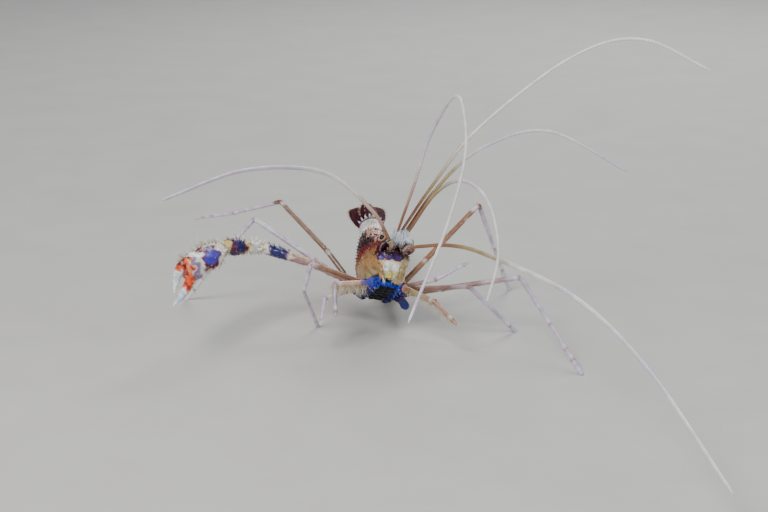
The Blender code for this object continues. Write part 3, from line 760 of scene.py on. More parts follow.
@dataclass
class Carapace:
    """The shield over the head and thorax, with its rostrum and thorns.

    Stations run from the rear edge to the brow: ahead, centre height, half width, half height.
    """

    stations: tuple = (
        (-7.0, 5.2, 3.6, 4.1), (-5.0, 5.1, 4.0, 4.5), (-1.0, 5.0, 4.4, 4.7), (3.0, 4.9, 4.3, 4.6),
        (6.5, 4.7, 3.9, 4.2), (8.6, 4.6, 3.4, 3.6), (9.8, 4.7, 2.5, 2.6), (10.3, 4.9, 1.3, 1.5),
        (10.5, 4.95, 0.4, 0.5),
    )
    rim: float = 9.15
    hems: tuple = ((0.25, 0.86), (-0.02, 0.93), (-0.12, 0.985))
    rostrum_root: tuple[float, float] = (6.2, 7.0)
    rostrum_tip: tuple[float, float] = (11.4, 7.95)
    rostrum_height: float = 1.05
    teeth: int = 7
    thorn_step: float = 0.85
    brow_thorns: tuple = ((7.9, 3.5, 6.3), (8.9, 2.9, 2.8), (8.6, 3.2, 4.6))
    rows: int = 120
    around: int = 132

    def build(self) -> None:
        """Make the shield and its thorns as one piece."""
        skin = Skin()
        places = self._places()
        rows = on_trunk(places)
        skin.loft(rows, self.paint(places))
        self._add_rostrum(skin)
        self._add_thorns(skin, places, rows)
        skin.piece("carapace_shell", SHELL, ("carapace",))

    def _places(self) -> Array:
        """Return the shield's points in trunk coordinates, with grooves, ridges and turned-in edges.

        Returns:
            The points, ring by ring.
        """
        angles = ring_angles(self.around)
        cosine, sine = np.cos(angles), np.sin(angles)
        line = smooth_route(self.stations, self.rows)
        ahead, height, half_width, half_height = (line[:, [column]] for column in range(4))
        left = half_width * cosine
        up = height + half_height * sine
        ahead = np.broadcast_to(ahead, left.shape).copy()
        places = np.stack([ahead, left, up], axis=-1)
        normal = np.stack([np.zeros_like(left), cosine / half_width * 4, sine / half_height * 4], axis=-1)
        places = places + unit(normal) * self._relief(ahead, left, up)[..., None]
        hem = places[:1].repeat(len(self.hems), axis=0)
        middle = hem.mean(axis=1, keepdims=True)
        for row, (back, share) in enumerate(self.hems):
            hem[row] = middle[row] + (hem[row] - middle[row]) * share
            hem[row, :, 0] += back
        return np.vstack([hem, places])

    def _relief(self, ahead: Array, left: Array, up: Array) -> Array:
        """Return how far the shield's grooves and ridges lift it off its plain shape.

        Args:
            ahead: how far ahead each point lies.
            left: how far left each lies.
            up: how far up each lies.

        Returns:
            A height for each point.
        """
        places = np.stack([ahead, left, up], axis=-1)
        groove = 2.4 + 0.5 * (up - 5)
        # The raised rim round the face, with a gutter in front of it.
        flank = ramp(-up, -4.6, -3.8)
        lift = 0.30 * hump(ahead, self.rim, 0.3) * flank
        lift -= 0.22 * hump(ahead, self.rim + 0.5, 0.3) * flank
        # The slanting groove across the back, with a swelling in front.
        lift -= 0.17 * hump(ahead, groove, 0.3) * ramp(up, 1.2, 2.2)
        lift += 0.10 * hump(ahead, groove + 0.7, 0.4) * ramp(up, 1.2, 2.2)
        # A furrow along each shoulder, and the thick lower edge, which tucks in underneath.
        lift -= 0.10 * hump(up, 7.0, 0.25) * ramp(-ahead, -1.5, -0.5)
        lift += 0.18 * hump(up, 1.3, 0.3) * ramp(-ahead, -8.8, -8.2)
        lift -= 0.35 * ramp(-up, -1.1, -0.5) * ramp(-ahead, -8.8, -8.0)
        # The ridge at the rear edge and the keel along the top.
        lift += 0.12 * hump(ahead, -6.5, 0.3)
        lift += 0.14 * hump(left, 0, 0.5) * ramp(up, 7, 8.5)
        return lift + 0.05 * wander(places, 2.4, 3)

    def paint(self, place: Array) -> Array:
        """Return the shell's colours at places in trunk coordinates.

        Args:
            place: the places, with their coordinates last.

        Returns:
            A colour for each place.
        """
        ahead, left, up = place[..., 0], place[..., 1], place[..., 2]
        drift, small = wander(place, 2.2, 11), wander(place, 0.8, 12)
        brow = ramp(ahead + 0.3 * drift, 6.9, 7.7) * ramp(up, 4.3, 4.8)
        face = ramp(ahead, self.rim + 0.05, self.rim + 0.3)
        above = up - (3.35 + 0.3 * hump(left, -0.5, 0.4) + 0.7 * ramp(left, 1.4, 2.2))
        band = window(above, 0.0, 2.0, 0.15) * ramp(ahead, 8.2, 8.8)
        return layered(
            SAND,
            (TAN, ramp(up + 0.4 * drift, 0.8, 3.2)),
            (OCHRE, ramp(up + 0.6 * drift, 3.6, 6.2) * 0.8),
            (OLIVE, ramp(drift + small, 0.6, 1.3) * 0.6 * window(ahead, -2, 8.6, 0.8)),
            (BONE, ramp(small, 0.8, 1.2) * 0.35),
            # Painted highlight: a tan sheen along the rim round the face, on the right side only.
            (RIM_HIGHLIGHT, hump(ahead, self.rim, 0.32) * ramp(-left, 0.5, 2) * 0.7),
            (CRIMSON * 0.72, ramp(up + 0.25 * drift, 6.0, 6.9) * 0.97),
            # Black-red at the top of the shield is partly the shell's own colour and partly painted shade: it
            # reaches lower on the right side.
            (BLACK_RED, ramp(up - 0.45 * left + 0.2 * drift, 9.0, 9.9)),
            (MAROON, brow),
            (CRIMSON, brow * ramp(small, 0.2, 0.9) * 0.6),
            (blend(SAND, GREEN_YELLOW, ramp(small, -0.5, 0.5)), face * (1 - ramp(above, -0.1, 0.1))),
            (blend(PURPLE, MAROON, ramp(above + 0.5 * small, 1.1, 1.9)), band * (1 - ramp(left, 2.2, 2.6))),
            (VIOLET, band * ramp(small, 0.3, 1.0) * ramp(-above, -1.2, -0.6) * 0.35),
            (BONE, hump(ahead, self.rim, 0.25) * ramp(left, 0.8, 2.0) * ramp(-up, -4.4, -3.6)),
        )

    def _add_rostrum(self, skin: Skin) -> None:
        """Add the beak between the eyes, with teeth along its top.

        Args:
            skin: the skin that takes it.
        """
        share = np.linspace(0, 1, 34)
        ahead = self.rostrum_root[0] + (self.rostrum_tip[0] - self.rostrum_root[0]) * share
        height = self.rostrum_root[1] + (self.rostrum_tip[1] - self.rostrum_root[1]) * share
        height = height + 0.35 * np.sin(share * math.pi)
        line = on_trunk(np.stack([ahead, np.zeros_like(ahead), height], axis=1))
        thick = self.rostrum_height * (1 - share) ** 0.8 + 0.05
        rows = ovals(line, LEFT, UP, thick * 0.55, thick, 20)
        skin.loft(rows, blend(MAROON, ROSE, ramp(share, 0.25, 0.9))[:, None])
        spots = np.linspace(0.12, 0.86, self.teeth)
        tops = at_reach(spots, share, line) + UP * (np.interp(spots, share, thick) * 0.9)[:, None]
        skin.thorns(tops, UP * 0.7 + AHEAD * 0.8, 0.95 - 0.45 * spots, 0.17, CRIMSON, BONE)
        skin.thorns(tops[4:6] - UP * 0.9, AHEAD * 0.9 - UP * 0.5, 0.45, 0.11, ROSE, BONE)

    def _add_thorns(self, skin: Skin, places: Array, rows: Array) -> None:
        """Add the forward-pointing thorns that cover the shield.

        Args:
            skin: the skin that takes them.
            places: the shield's points in trunk coordinates.
            rows: the same points in the scene.
        """
        dice = default_rng(5)
        normals = outward(rows)
        hem = len(self.hems)
        spots = []
        for number, ahead in enumerate(np.arange(-6.2, 8.6, self.thorn_step)):
            row = int(np.argmin(np.abs(places[hem:, 0, 0] - ahead))) + hem
            step = 13 if ahead < 6.5 else 11
            for degrees in np.arange(-8 + 6 * (number % 2), 190, step):
                column = int((degrees + dice.uniform(-3, 3)) / 360 * self.around) % self.around
                spots.append((min(max(row + int(dice.integers(-2, 3)), hem), self.rows), column))
        row, column = np.array(spots).T
        place = places[row, column]
        height = ramp(place[:, 2], 2.5, 8.5)
        lengths = (0.28 + 0.3 * height) * dice.uniform(0.75, 1.25, len(row))
        tint = self.paint(place)
        skin.thorns(rows[row, column], normals[row, column] * 0.75 + AHEAD * 0.75, lengths,
                    0.09 + 0.06 * height, tint, blend(tint, SHELL_PINK, 0.04 + 0.03 * height), sides=5)
        for side in Side:
            roots = np.array([side.place(*place) for place in self.brow_thorns])
            skin.thorns(roots, AHEAD + LEFT * side.value * 0.35, 1.1, 0.2, TAN, BONE)


@dataclass(frozen=True)
class Plate:
    """One flat mouthpart: its middle line on the trunk from its top, its half width and its colours."""

    line: tuple
    half_width: float
    middle: Array
    edge: Array
    point: float = 0.15


@dataclass
class Face:
    """The mouthparts between the bases of the feelers and the front leg bases: flat, overlapping plates."""

    plates: tuple[Plate, ...] = (
        Plate(((9.75, -1.38, 3.6), (10.1, -1.36, 2.3), (9.7, -1.28, 0.9)), 0.9, WHITE, SAND),
        Plate(((9.75, 0.28, 3.65), (10.1, 0.3, 2.3), (9.75, 0.36, 0.9)), 0.92, WHITE, SAND),
        Plate(((9.5, -1.25, 1.8), (9.75, -1.15, 0.9), (9.2, -0.95, -0.2)), 0.62, GREEN_YELLOW, OLIVE),
        Plate(((9.55, 0.55, 1.7), (9.75, 0.4, 0.8), (9.2, 0.2, -0.3)), 0.62, GREEN_YELLOW, SAND),
        Plate(((9.6, -0.4, 1.5), (9.9, -0.42, 0.6), (9.4, -0.3, -0.3)), 0.34, YELLOW, GREEN_YELLOW),
        Plate(((9.1, 0.95, 0.9), (9.3, 0.8, 0.0), (8.7, 0.6, -0.8)), 0.5, ROSE, SAND),
        Plate(((8.9, -2.2, 3.4), (9.3, -2.2, 1.8), (8.8, -1.95, -0.4)), 0.5, CHESTNUT, OCHRE, 0.3),
        Plate(((9.6, -1.95, 4.0), (9.85, -1.95, 3.4), (9.7, -1.9, 2.9)), 0.28, ORANGE * 0.7, ROSE),
        Plate(((8.6, -2.0, 0.9), (9.2, -1.8, -0.1), (8.9, -1.3, -1.1)), 0.2, BONE, MAUVE),
        Plate(((10.0, 2.3, 4.4), (10.2, 2.0, 3.0), (9.8, 1.95, 1.3), (9.1, 1.8, -0.2), (8.5, 1.55, -1.1)),
              0.92, STRAW, BONE, 0.5),
    )
    thickness: float = 0.2
    groove: float = 0.62
    around: int = 36
    hairs: int = 26

    def build(self, bristles: Skin) -> None:
        """Make the mouthparts as one piece.

        Args:
            bristles: the skin that takes their hairs.
        """
        skin = Skin()
        for number, plate in enumerate(self.plates):
            self._plate(skin, bristles, plate, number)
        skin.piece("mouthparts", SHELL)

    def _plate(self, skin: Skin, bristles: Skin, plate: Plate, number: int) -> None:
        """Add one plate with a grooved face, and hairs along its lower edges.

        Args:
            skin: the skin that takes the plate.
            bristles: the skin that takes the hairs.
            plate: the plate's line, sizes and colours.
            number: its number, which seeds the random draws.
        """
        line = on_trunk(smooth_route(plate.line, 36))
        share = np.linspace(0, 1, 37)
        size = np.minimum(1, (share + 0.02) / plate.point) ** 0.6 * np.sqrt(1 - share ** 5) + 0.05
        tangents, sides, rises = carried_frames(line, LEFT)
        thick = self.thickness * (0.3 + 0.7 * size)
        rows = ovals(line, sides, rises, plate.half_width * size, thick, self.around)
        across = np.abs(np.cos(ring_angles(self.around)))[None]
        relief = 0.07 * wander(rows, 0.8, 21 + number) - 0.07 * hump(across, self.groove, 0.12)
        rows = rows + outward(rows) * relief[..., None]
        tint = blend(plate.middle, plate.edge, ramp(across, 0.7, 0.97) * 0.8)
        tint = blend(tint, SAND * 0.6, ramp(wander(rows, 0.6, 31 + number), 0.4, 1.2) * 0.5)
        # Painted shade: each plate is darker along its groove.
        skin.loft(rows, blend(tint, tint * 0.45, hump(across, self.groove, 0.1) * 0.6))
        dice = default_rng(30 + number)
        row = dice.integers(24, 36, self.hairs)
        column = np.where(dice.random(self.hairs) < 0.5, 0, self.around // 2)
        ways = tangents[row] + (rows[row, column] - line[row]) * 0.5
        ways = ways + dice.normal(size=(self.hairs, 3)) * 0.15
        bristles.hairs(rows, (row, column, share[row]), ways, dice.uniform(0.3, 0.7, self.hairs), 0.035,
                       (SAND, BONE))


class LimbKind(Enum):
    """What a slender limb is: this sets its ringed joints, its tip and its hairs."""

    MAXILLIPED = "hairy limb beside the mouth"
    PINCERED = "short walking leg, with a pincer where it doesn't stand"
    RINGED = "long walking leg with a ringed lower half"


class Girth(Enum):
    """How thick a slender limb is: its radii at the root, the knee and the tip."""

    SLENDER = (0.85, 0.5, 0.26)
    MEDIUM = (0.8, 0.48, 0.26)
    SMALL = (0.65, 0.42, 0.25)
    BRUSHY = (0.8, 0.68, 0.3)


@dataclass(frozen=True)
class LimbPlan:
    """One slender limb: its name, place, size and colours, with its segments above and below the knee.

    A segment is its length, azimuth and elevation.  The tints are the colours at the root and further out,
    with the shares of the length between which they turn lilac.  A pale limb is white further out and has
    longer hairs.
    """

    name: str
    kind: LimbKind
    side: Side
    seat: float
    girth: Girth
    upper: tuple
    lower: tuple = ()
    stands: bool = False
    tints: tuple = (UMBER, MAUVE, 0.3, 0.6)
    pale: bool = False

    @property
    def label(self) -> str:
        """Return the limb's name with its side, as the frame says it."""
        return f"{self.name}_{self.side.word}"


LIMB_PLANS = (
    LimbPlan("maxilliped", LimbKind.MAXILLIPED, Side.RIGHT, 7.0, Girth.BRUSHY,
             ((10.9, -53, 8), (7.1, 4, -58))),
    LimbPlan("maxilliped", LimbKind.MAXILLIPED, Side.LEFT, 7.0, Girth.BRUSHY,
             ((11.1, 41, -5), (7.4, 40, -26))),
    LimbPlan("leg_1", LimbKind.PINCERED, Side.RIGHT, 5.0, Girth.SMALL, ((11.1, -64, -8),), ((8.7, -5, -22),)),
    LimbPlan("leg_1", LimbKind.PINCERED, Side.LEFT, 5.0, Girth.SMALL, ((11.1, 48, 21),), ((8.7, 67, 32),)),
    LimbPlan("leg_2", LimbKind.PINCERED, Side.RIGHT, 3.0, Girth.MEDIUM, ((14.4, -67, 26),),
             ((6.7, -130, -72), (14.6, 165, 0)), True, (UMBER, BROWN, 0.4, 0.46)),
    LimbPlan("leg_2", LimbKind.PINCERED, Side.LEFT, 3.0, Girth.MEDIUM, ((16.3, 66, 10),),
             ((17.9, 127, 0),), True, (UMBER, MAUVE, 0.35, 0.62)),
    LimbPlan("leg_4", LimbKind.RINGED, Side.RIGHT, -2.7, Girth.SLENDER, ((28.4, -115, 27),),
             ((12.8, -114, -48), (15.5, -127, 0)), True, (MAUVE * 0.8, LILAC * 0.7, 0.2, 0.52), True),
    LimbPlan("leg_4", LimbKind.RINGED, Side.LEFT, -2.7, Girth.SLENDER, ((28.4, 74, 13),),
             ((29.0, 25, 0),), True),
    LimbPlan("leg_5", LimbKind.RINGED, Side.RIGHT, -4.6, Girth.SLENDER, ((12.2, -131, 40), (16.1, -134, 30)),
             ((13.6, -123, -19), (12.7, -127, -15)), False, (DRAB * 0.75, DRAB * 0.95, 0.5, 0.57)),
    LimbPlan("leg_5", LimbKind.RINGED, Side.LEFT, -4.6, Girth.SLENDER, ((29.3, 126, 35),),
             ((26.2, 144, 0),), True, (BROWN, BROWN, 0.5, 0.56)),
)


@dataclass(frozen=True)
class ClawPlan:
    """One great claw: its segments to the palm and finger, and how its hand is turned.

    The shaded blue fade is where the blue of its start, darkened as painted shade, fades out, in lengths
    beyond the hip.
    """

    side: Side
    segments: tuple
    lean: float
    fixed_hand: int
    shaded_blue_fade: tuple[float, float]
    seat: float = 0.7
    base_radius: float = 0.95


CLAW_PLANS = (
    ClawPlan(Side.RIGHT,
             ((11.7, -108, 20), (11.7, -100, 16), (11.0, -45, 12), (14.5, -27, -6), (10.5, -12, -24)),
             -48.0, -1, (0.2, 2.6)),
    ClawPlan(Side.LEFT,
             ((4.0, 104, -56), (19.0, 187, -4.2), (11.0, 182, -8), (14.5, 180, -2.6), (10.5, 177, 0)),
             0.0, 1, (4.2, 6.4)),
)


def limb_seat(ahead: float, side: Side) -> Array:
    """Return the place inside the sternum's flank that a limb grows from."""
    return side.place(ahead, STERNUM_HALF_WIDTH - 0.6, STERNUM_TOP - STERNUM_HALF_HEIGHT)


def hip(ahead: float, side: Side) -> Array:
    """Return the place outside the sternum where a limb starts its first long segment."""
    return side.place(ahead, 3.4 - 0.1 * max(ahead, 0) ** 1.2, -0.85)


def chain(start: Array, segments: tuple, stands: bool) -> list[Array]:
    """Return the joints of a limb; the last segment of one that stands reaches down to the floor.

    Args:
        start: the first joint.
        segments: the length, azimuth and elevation of each segment.
        stands: whether the last segment ends on the floor.

    Returns:
        The joints, in order.
    """
    joints = [start]
    for number, (length, azimuth, elevation) in enumerate(segments, start=1):
        if stands and number == len(segments):
            elevation = -math.degrees(math.asin(joints[-1][2] / length))
        joints.append(joints[-1] + direction(azimuth, elevation) * length)
    return joints


@dataclass
class LegBases:
    """The keel under the shield and the swollen blue bases of the limbs."""

    rear: float = -6.0
    front: float = 8.0
    reach: float = 1.9
    keel_around: int = 44
    base_around: int = 26
    thorns: int = 14

    def keel_rings(self, around: int) -> Array:
        """Return the keel's rings at the frame's own stations.

        Args:
            around: the number of points round a ring.

        Returns:
            The keel's points, ring by ring.
        """
        share = np.array([0.0, 0.12, 0.4, 0.7, 0.92, 1.0])
        swell = np.sqrt(np.maximum(1 - (2 * share - 1) ** 4, 0.35))
        ahead = self.rear + (self.front - self.rear) * share
        line = np.stack([ahead, 0 * ahead, 0 * ahead + STERNUM_TOP - STERNUM_HALF_HEIGHT], axis=1)
        return ovals(on_trunk(line), LEFT, UP, STERNUM_HALF_WIDTH * swell, STERNUM_HALF_HEIGHT * swell,
                     around)

    def build(self) -> None:
        """Make the keel with all the leg bases as one piece."""
        skin = Skin()
        rings = self.keel_rings(self.keel_around)
        fine = np.stack([smooth_route(rings[:, column], 60) for column in range(self.keel_around)], axis=1)
        ahead, left = (fine - HIPS) @ AHEAD, (fine - HIPS) @ LEFT
        relief = 0.22 * np.sin(ahead * 2.6) - 0.25 * hump(left, 0, 0.35)
        fine = fine + outward(fine) * (relief + 0.08 * wander(fine, 0.9, 30))[..., None]
        # Painted shade: the keel is near-black navy along its length, blue only at its front end.
        dark = blend(INK, NAVY * 0.6, ramp(wander(fine, 1.4, 31), 0.2, 1.2) * 0.6)
        skin.loft(fine, blend(dark, BLUE, ramp(ahead + 0.3 * np.abs(left), 6.6, 7.2) * 0.9))
        for plan in LIMB_PLANS:
            self._base(skin, plan.seat, plan.side, plan.upper[0], plan.girth.value[0])
        for claw in CLAW_PLANS:
            self._base(skin, claw.seat, claw.side, claw.segments[0], claw.base_radius)
        skin.piece("leg_bases", LEG_BASE, ("sternum",))

    def _base(self, skin: Skin, seat: float, side: Side, segment: tuple, radius: float) -> None:
        """Add the two short swollen segments that one limb starts with.

        Args:
            skin: the skin that takes them.
            seat: where the limb sits along the trunk.
            side: the limb's side of the body.
            segment: the length, azimuth and elevation of its first long segment.
            radius: the limb's radius at its root.
        """
        start, joint = limb_seat(seat, side), hip(seat, side)
        _, azimuth, elevation = segment
        end = joint + direction(azimuth, elevation) * self.reach
        line = softened(even_steps(np.array([start, joint, end]), 40), 5)
        share = np.linspace(0, 1, 41)
        bulge = 0.95 + 0.5 * np.abs(np.sin(share * 2 * math.pi)) ** 0.7 * (1 - 0.25 * share)
        smooth = Surface.along(line, radius * bulge, self.base_around)
        rows = roughened(smooth.rows, 0.06, 0.8, 33)
        by_mouth = seat > 6
        tint = blend(BLUE, NAVY, ramp(wander(rows, 1.0, 32), 0.1, 1.0) * 0.8)
        # Painted shade: the bases further back are darkened towards navy.
        tint = blend(NAVY * 0.4, tint, ramp(np.full(rows.shape[:2], seat), 1.0, 6.0) * 0.8 + 0.2)
        if by_mouth and side is Side.RIGHT:
            tint = blend(tint, PLUM * 0.8, ramp(share, 0.9, 1.0)[:, None] * 0.5)
        else:
            tint = blend(tint, PURPLE, ramp(share, 0.72, 0.85)[:, None])
            tint = blend(tint, ROSE if by_mouth else UMBER, ramp(share, 0.93, 1.0)[:, None])
        skin.loft(rows, tint)
        base = Surface(rows, outward(rows), smooth.tangents, tint)
        dice = default_rng(400 + int(seat * 10) + side.value)
        row, column = dice.integers(6, 34, self.thorns), dice.integers(0, self.base_around, self.thorns)
        base.thorns(skin, row, column, base.normals[row, column], dice.uniform(0.3, 0.6, self.thorns), 0.08,
                    BONE, sides=5)


@dataclass(frozen=True)
class Somite:
    """One ring of the abdomen: its length, heading to -X, climb and half sizes, and its colours."""

    length: float
    heading: float
    climb: float
    half_width: float
    half_height: float
    base: Array
    lobe: Array


@dataclass
class Abdomen:
    """The six overlapping rings behind the shield, with their side lobes, thorns and swimmerets."""

    somites: tuple[Somite, ...] = (
        Somite(3.4, 5.0, -7.0, 3.5, 3.6, OCHRE, OCHRE * 0.6),
        Somite(3.9, -2.0, 6.0, 3.7, 3.7, CRIMSON, OCHRE * 0.5),
        Somite(4.4, -3.0, 9.0, 3.7, 3.8, CRIMSON, OCHRE * 0.4),
        Somite(3.9, 0.0, 11.0, 3.4, 3.5, SHELL_PINK, BLACK_RED),
        Somite(3.4, 4.0, 13.0, 3.0, 3.1, SHELL_PINK, MAROON),
        Somite(4.6, 8.0, 16.0, 2.6, 2.6, PEARL, BONE),
    )
    start: tuple[float, float, float] = (-7.3, 0.0, 5.2)
    belly: float = 0.7
    around: int = 110
    middle_row: int = 30
    thorn_rows: tuple = ((0.2, 22, 17, 0.7), (0.58, 4, 11, 1.0), (0.84, 12, 11, 1.25))
    crown_row: float = 0.9
    joints: list[Array] = field(default_factory=list)
    runs: list[Array] = field(default_factory=list)

    def __post_init__(self) -> None:
        """Work out the axis."""
        self.joints.append(on_trunk(self.start))
        for somite in self.somites:
            run = direction(180 + somite.heading, somite.climb)
            self.runs.append(run)
            self.joints.append(self.joints[-1] + run * somite.length)

    def build(self) -> None:
        """Make each ring as a piece of its own."""
        between = [unit(before + after) for before, after in zip(self.runs, self.runs[1:])]
        bends = [-AHEAD, *between, self.runs[-1]]
        for number, somite in enumerate(self.somites, start=1):
            self._ring(number, somite, bends[number - 1], bends[number])

    def _ring(self, number: int, somite: Somite, first: Array, last: Array) -> None:
        """Make one ring, its lobes, thorns and swimmerets.

        Args:
            number: the ring's number, from 1.
            somite: the ring's sizes and colours.
            first: the direction of the body at its front.
            last: the direction of the body at its rear.
        """
        start, end = self.joints[number - 1], self.joints[number]
        close = 0.82 if number == 6 else 1.04
        profile = ((-0.2, 0.80), (-0.12, 0.88), (0.05, 0.93), (0.28, 0.975), (0.40, 0.95), (0.52, 0.99),
                   (0.8, 1.02), (0.97, close), (1.03, close), (1.05, close - 0.05), (0.98, close - 0.1))
        share, size = smooth_route(profile, 64).T
        axes = unit(first + (last - first) * np.clip(share, 0, 1)[:, None])
        sides = unit(np.cross(axes, Z))
        rises = np.cross(sides, axes)
        centres = start + (end - start) * share[:, None]
        rows = ovals(centres, sides, rises, somite.half_width * size, somite.half_height * size, self.around,
                     self.belly)
        normals = outward(rows)
        rows = rows + normals * (0.05 * wander(rows, 1.6, 50 + number))[..., None]
        skin = Skin()
        surface = Surface(rows, normals, axes, self.paint(number, rows, share[:, None]))
        skin.loft(rows, surface.tint)
        self._thorns(skin, number, somite, surface, share)
        row = self.middle_row
        for hand in (-1, 1):
            self._lobe(skin, number, centres[row], sides[row] * hand, rises[row], axes[row])
            if number < 6:
                self._swimmeret(skin, somite, centres[row], sides[row], axes[row], hand)
        skin.piece(f"abdomen_ring_{number}", BANDED, (f"abdomen_{number}",))

    def paint(self, number: int, rows: Array, share: Array) -> Array:
        """Return the colours of one ring.

        Args:
            number: which ring, from 1 at the shield.
            rows: its points.
            share: how far back along the ring each row is.

        Returns:
            A colour for each point.
        """
        small, drift = wander(rows, 0.9, 60), wander(rows, 2.0, 61)
        share = np.broadcast_to(share, rows.shape[:2])
        angles = ring_angles(self.around)
        across, above = (np.broadcast_to(each, share.shape) for each in (np.cos(angles), np.sin(angles)))
        tint = np.broadcast_to(self.somites[number - 1].base, rows.shape)
        top = ramp(above + 0.1 * drift, 0.3, 0.8)
        if number == 1:
            tint = blend(tint, CRIMSON * 0.5, top)
        if number in (2, 3):
            tint = layered(
                OCHRE * 0.6,
                (tint * 0.5, 0.25 + 0.75 * top),
                (MAROON, ramp(small, 0.2, 1.0) * 0.7),
                (CRIMSON, hump(share, 0.9, 0.06) * 0.6),
            )
        if number == 3:
            # Painted shade: ring 3 turns black-red over its right side, more so towards its rear.
            tint = blend(tint, BLACK_RED, ramp(0.15 * small - across + 0.8 * share, 0.3, 0.7))
        if number in (4, 5):
            ringed = np.abs(wander(rows, 1.1, 62))
            tint = layered(
                tint,
                (CRIMSON * 0.45, ramp(-ringed, -0.42, -0.22)),
                (BLACK_RED, ramp(ringed, 0.95, 1.2)),
                # Painted shade: black-red over the ring's right side.
                (BLACK_RED, ramp(0.15 * small - across, 0.25 if number == 4 else 0.7, 0.8)),
            )
        if number == 5:
            tint = blend(tint, WHITE, ramp(share + 0.12 * small, 0.55, 0.8))
        if number == 6:
            tint = layered(
                tint,
                # The ring is pale; across it are painted shade and a painted highlight: lilac grey on its
                # right side, greenish grey in the middle, white on its left side.
                (LICHEN, hump(across, -0.1, 0.4) * 0.6),
                (LILAC, ramp(-across, 0.3, 0.8) * 0.5),
                (WHITE, ramp(across, 0.15, 0.5)),
                (MAROON, ramp(share + 0.03 * drift, 0.8, 0.85)),
            )
        return blend(tint, SAND * 0.8, ramp(-above, 0.45, 0.85) * 0.85)

    def _thorns(self, skin: Skin, number: int, somite: Somite, surface: Surface, share: Array) -> None:
        """Add the cross rows of thorns, and on the last ring its crown of stout pale ones.

        Args:
            skin: the skin that takes them.
            number: the ring's number, from 1.
            somite: the ring's sizes and colours.
            surface: the ring's surface.
            share: how far along the ring each row lies.
        """
        dice = default_rng(70 + number)
        axes, tint = surface.tangents, surface.tint
        for spot, first, step, size in self.thorn_rows:
            row = int(np.argmin(np.abs(share - spot)))
            degrees = np.arange(first, 180 - first + 1, step) + dice.uniform(-2, 2, 1)
            column = (degrees / 360 * self.around).astype(int) % self.around
            high = np.sin(np.radians(degrees)) ** 2
            lengths = (0.4 + 0.45 * high) * somite.half_height / 3.4 * size
            lengths = lengths * dice.uniform(0.85, 1.2, len(column))
            ways = surface.ways(row, column, 0.9, -0.35 if number < 3 else 0.45)
            pale = WHITE if number > 3 else BONE
            tips = blend(tint[row, column], pale, {4: 0.1, 5: 0.3, 6: 0.5}.get(number, 0.03) * (1 + high))
            surface.thorns(skin, row, column, ways, lengths, 0.13, tips, bows=axes[row] * -0.12)
        if number == 6:
            row = int(np.argmin(np.abs(share - self.crown_row)))
            column = (np.arange(22, 160, 19) / 360 * self.around).astype(int)
            skin.thorns(surface.rows[row, column], surface.ways(row, column, 1, 0.3), 1.35, 0.36, MAROON,
                        SNOW, sides=10)

    def _lobe(self, skin: Skin, number: int, centre: Array, out: Array, rise: Array,
              axis: Array) -> None:
        """Add the pointed lobe that hangs at one side of a ring.

        Args:
            skin: the skin that takes it.
            number: the ring's number, from 1.
            centre: the middle of the ring.
            out: the direction out to the lobe's side.
            rise: the ring's upward direction.
            axis: the direction along the ring.
        """
        somite = self.somites[number - 1]
        root = centre + out * somite.half_width * 0.93 - rise * somite.half_height * 0.12
        hang = unit(-rise + axis * 0.25 - out * 0.12)
        share = np.linspace(0, 1, 26)
        reach = somite.half_height * (0.95 if number < 6 else 0.6)
        bow = out * 0.25 * np.sin(share * math.pi)[:, None]
        line = root + hang * (share * reach)[:, None] + bow
        wide = somite.length * 0.5 * np.sqrt(np.clip(1 - share ** 2.6, 0, 1)) * (0.75 + 0.25 * share) + 0.03
        rows = ovals(line, axis, unit(np.cross(axis, hang)), wide, 0.13 - 0.07 * share, 26)
        tint = blend(somite.lobe, BONE, ramp(share, 0.7, 1.0) * 0.7)[:, None]
        skin.loft(rows, tint)
        dice = default_rng(80 + number)
        row = dice.integers(4, 24, 9)
        column = np.where(dice.random(9) < 0.5, 0, 13)
        ways = (rows[row, column] - line[row]) + hang * 0.3 + out * 0.4
        tips = BLACK_RED if number < 5 else BONE
        skin.thorns(rows[row, column], ways, 0.55, 0.09, tint[row, 0], tips, sides=5)

    def _swimmeret(self, skin: Skin, somite: Somite, centre: Array, side: Array, axis: Array,
                   hand: int) -> None:
        """Add one swimming paddle: a stalk and two leaves.

        Args:
            skin: the skin that takes it.
            somite: the ring's sizes and colours.
            centre: the middle of the ring.
            side: the direction across the ring.
            axis: the direction along the ring.
            hand: 1 or -1, for the side that the paddle hangs on.
        """
        root = centre + side * hand * somite.half_width * 0.45 - Z * somite.half_height * self.belly * 0.6
        hang = unit(axis * 0.45 - Z + side * hand * 0.15)
        reach = 3.0 + somite.half_height * self.belly * 0.4
        line = root + hang * (np.linspace(0, 1, 16) * reach * 0.42)[:, None]
        skin.loft(ovals(line, side, np.cross(hang, side), 0.5, 0.38, 18), CRIMSON)
        leaf = np.linspace(0, 1, 24)
        for spread, long in ((0.32, 1.0), (-0.22, 0.85)):
            way = unit(hang + side * hand * spread + axis * 0.15)
            line = root + hang * reach * 0.38 + way * (leaf * reach * 0.62 * long)[:, None]
            wide = 0.62 * np.sin(np.clip(leaf * 0.9 + 0.1, 0, 1) * math.pi) ** 0.7 + 0.05
            across = unit(side - way * (side @ way))
            rows = ovals(line, across, np.cross(way, across), wide, 0.1, 22)
            skin.loft(rows, blend(CRIMSON, BONE, ramp(leaf, 0.1, 0.7))[:, None])


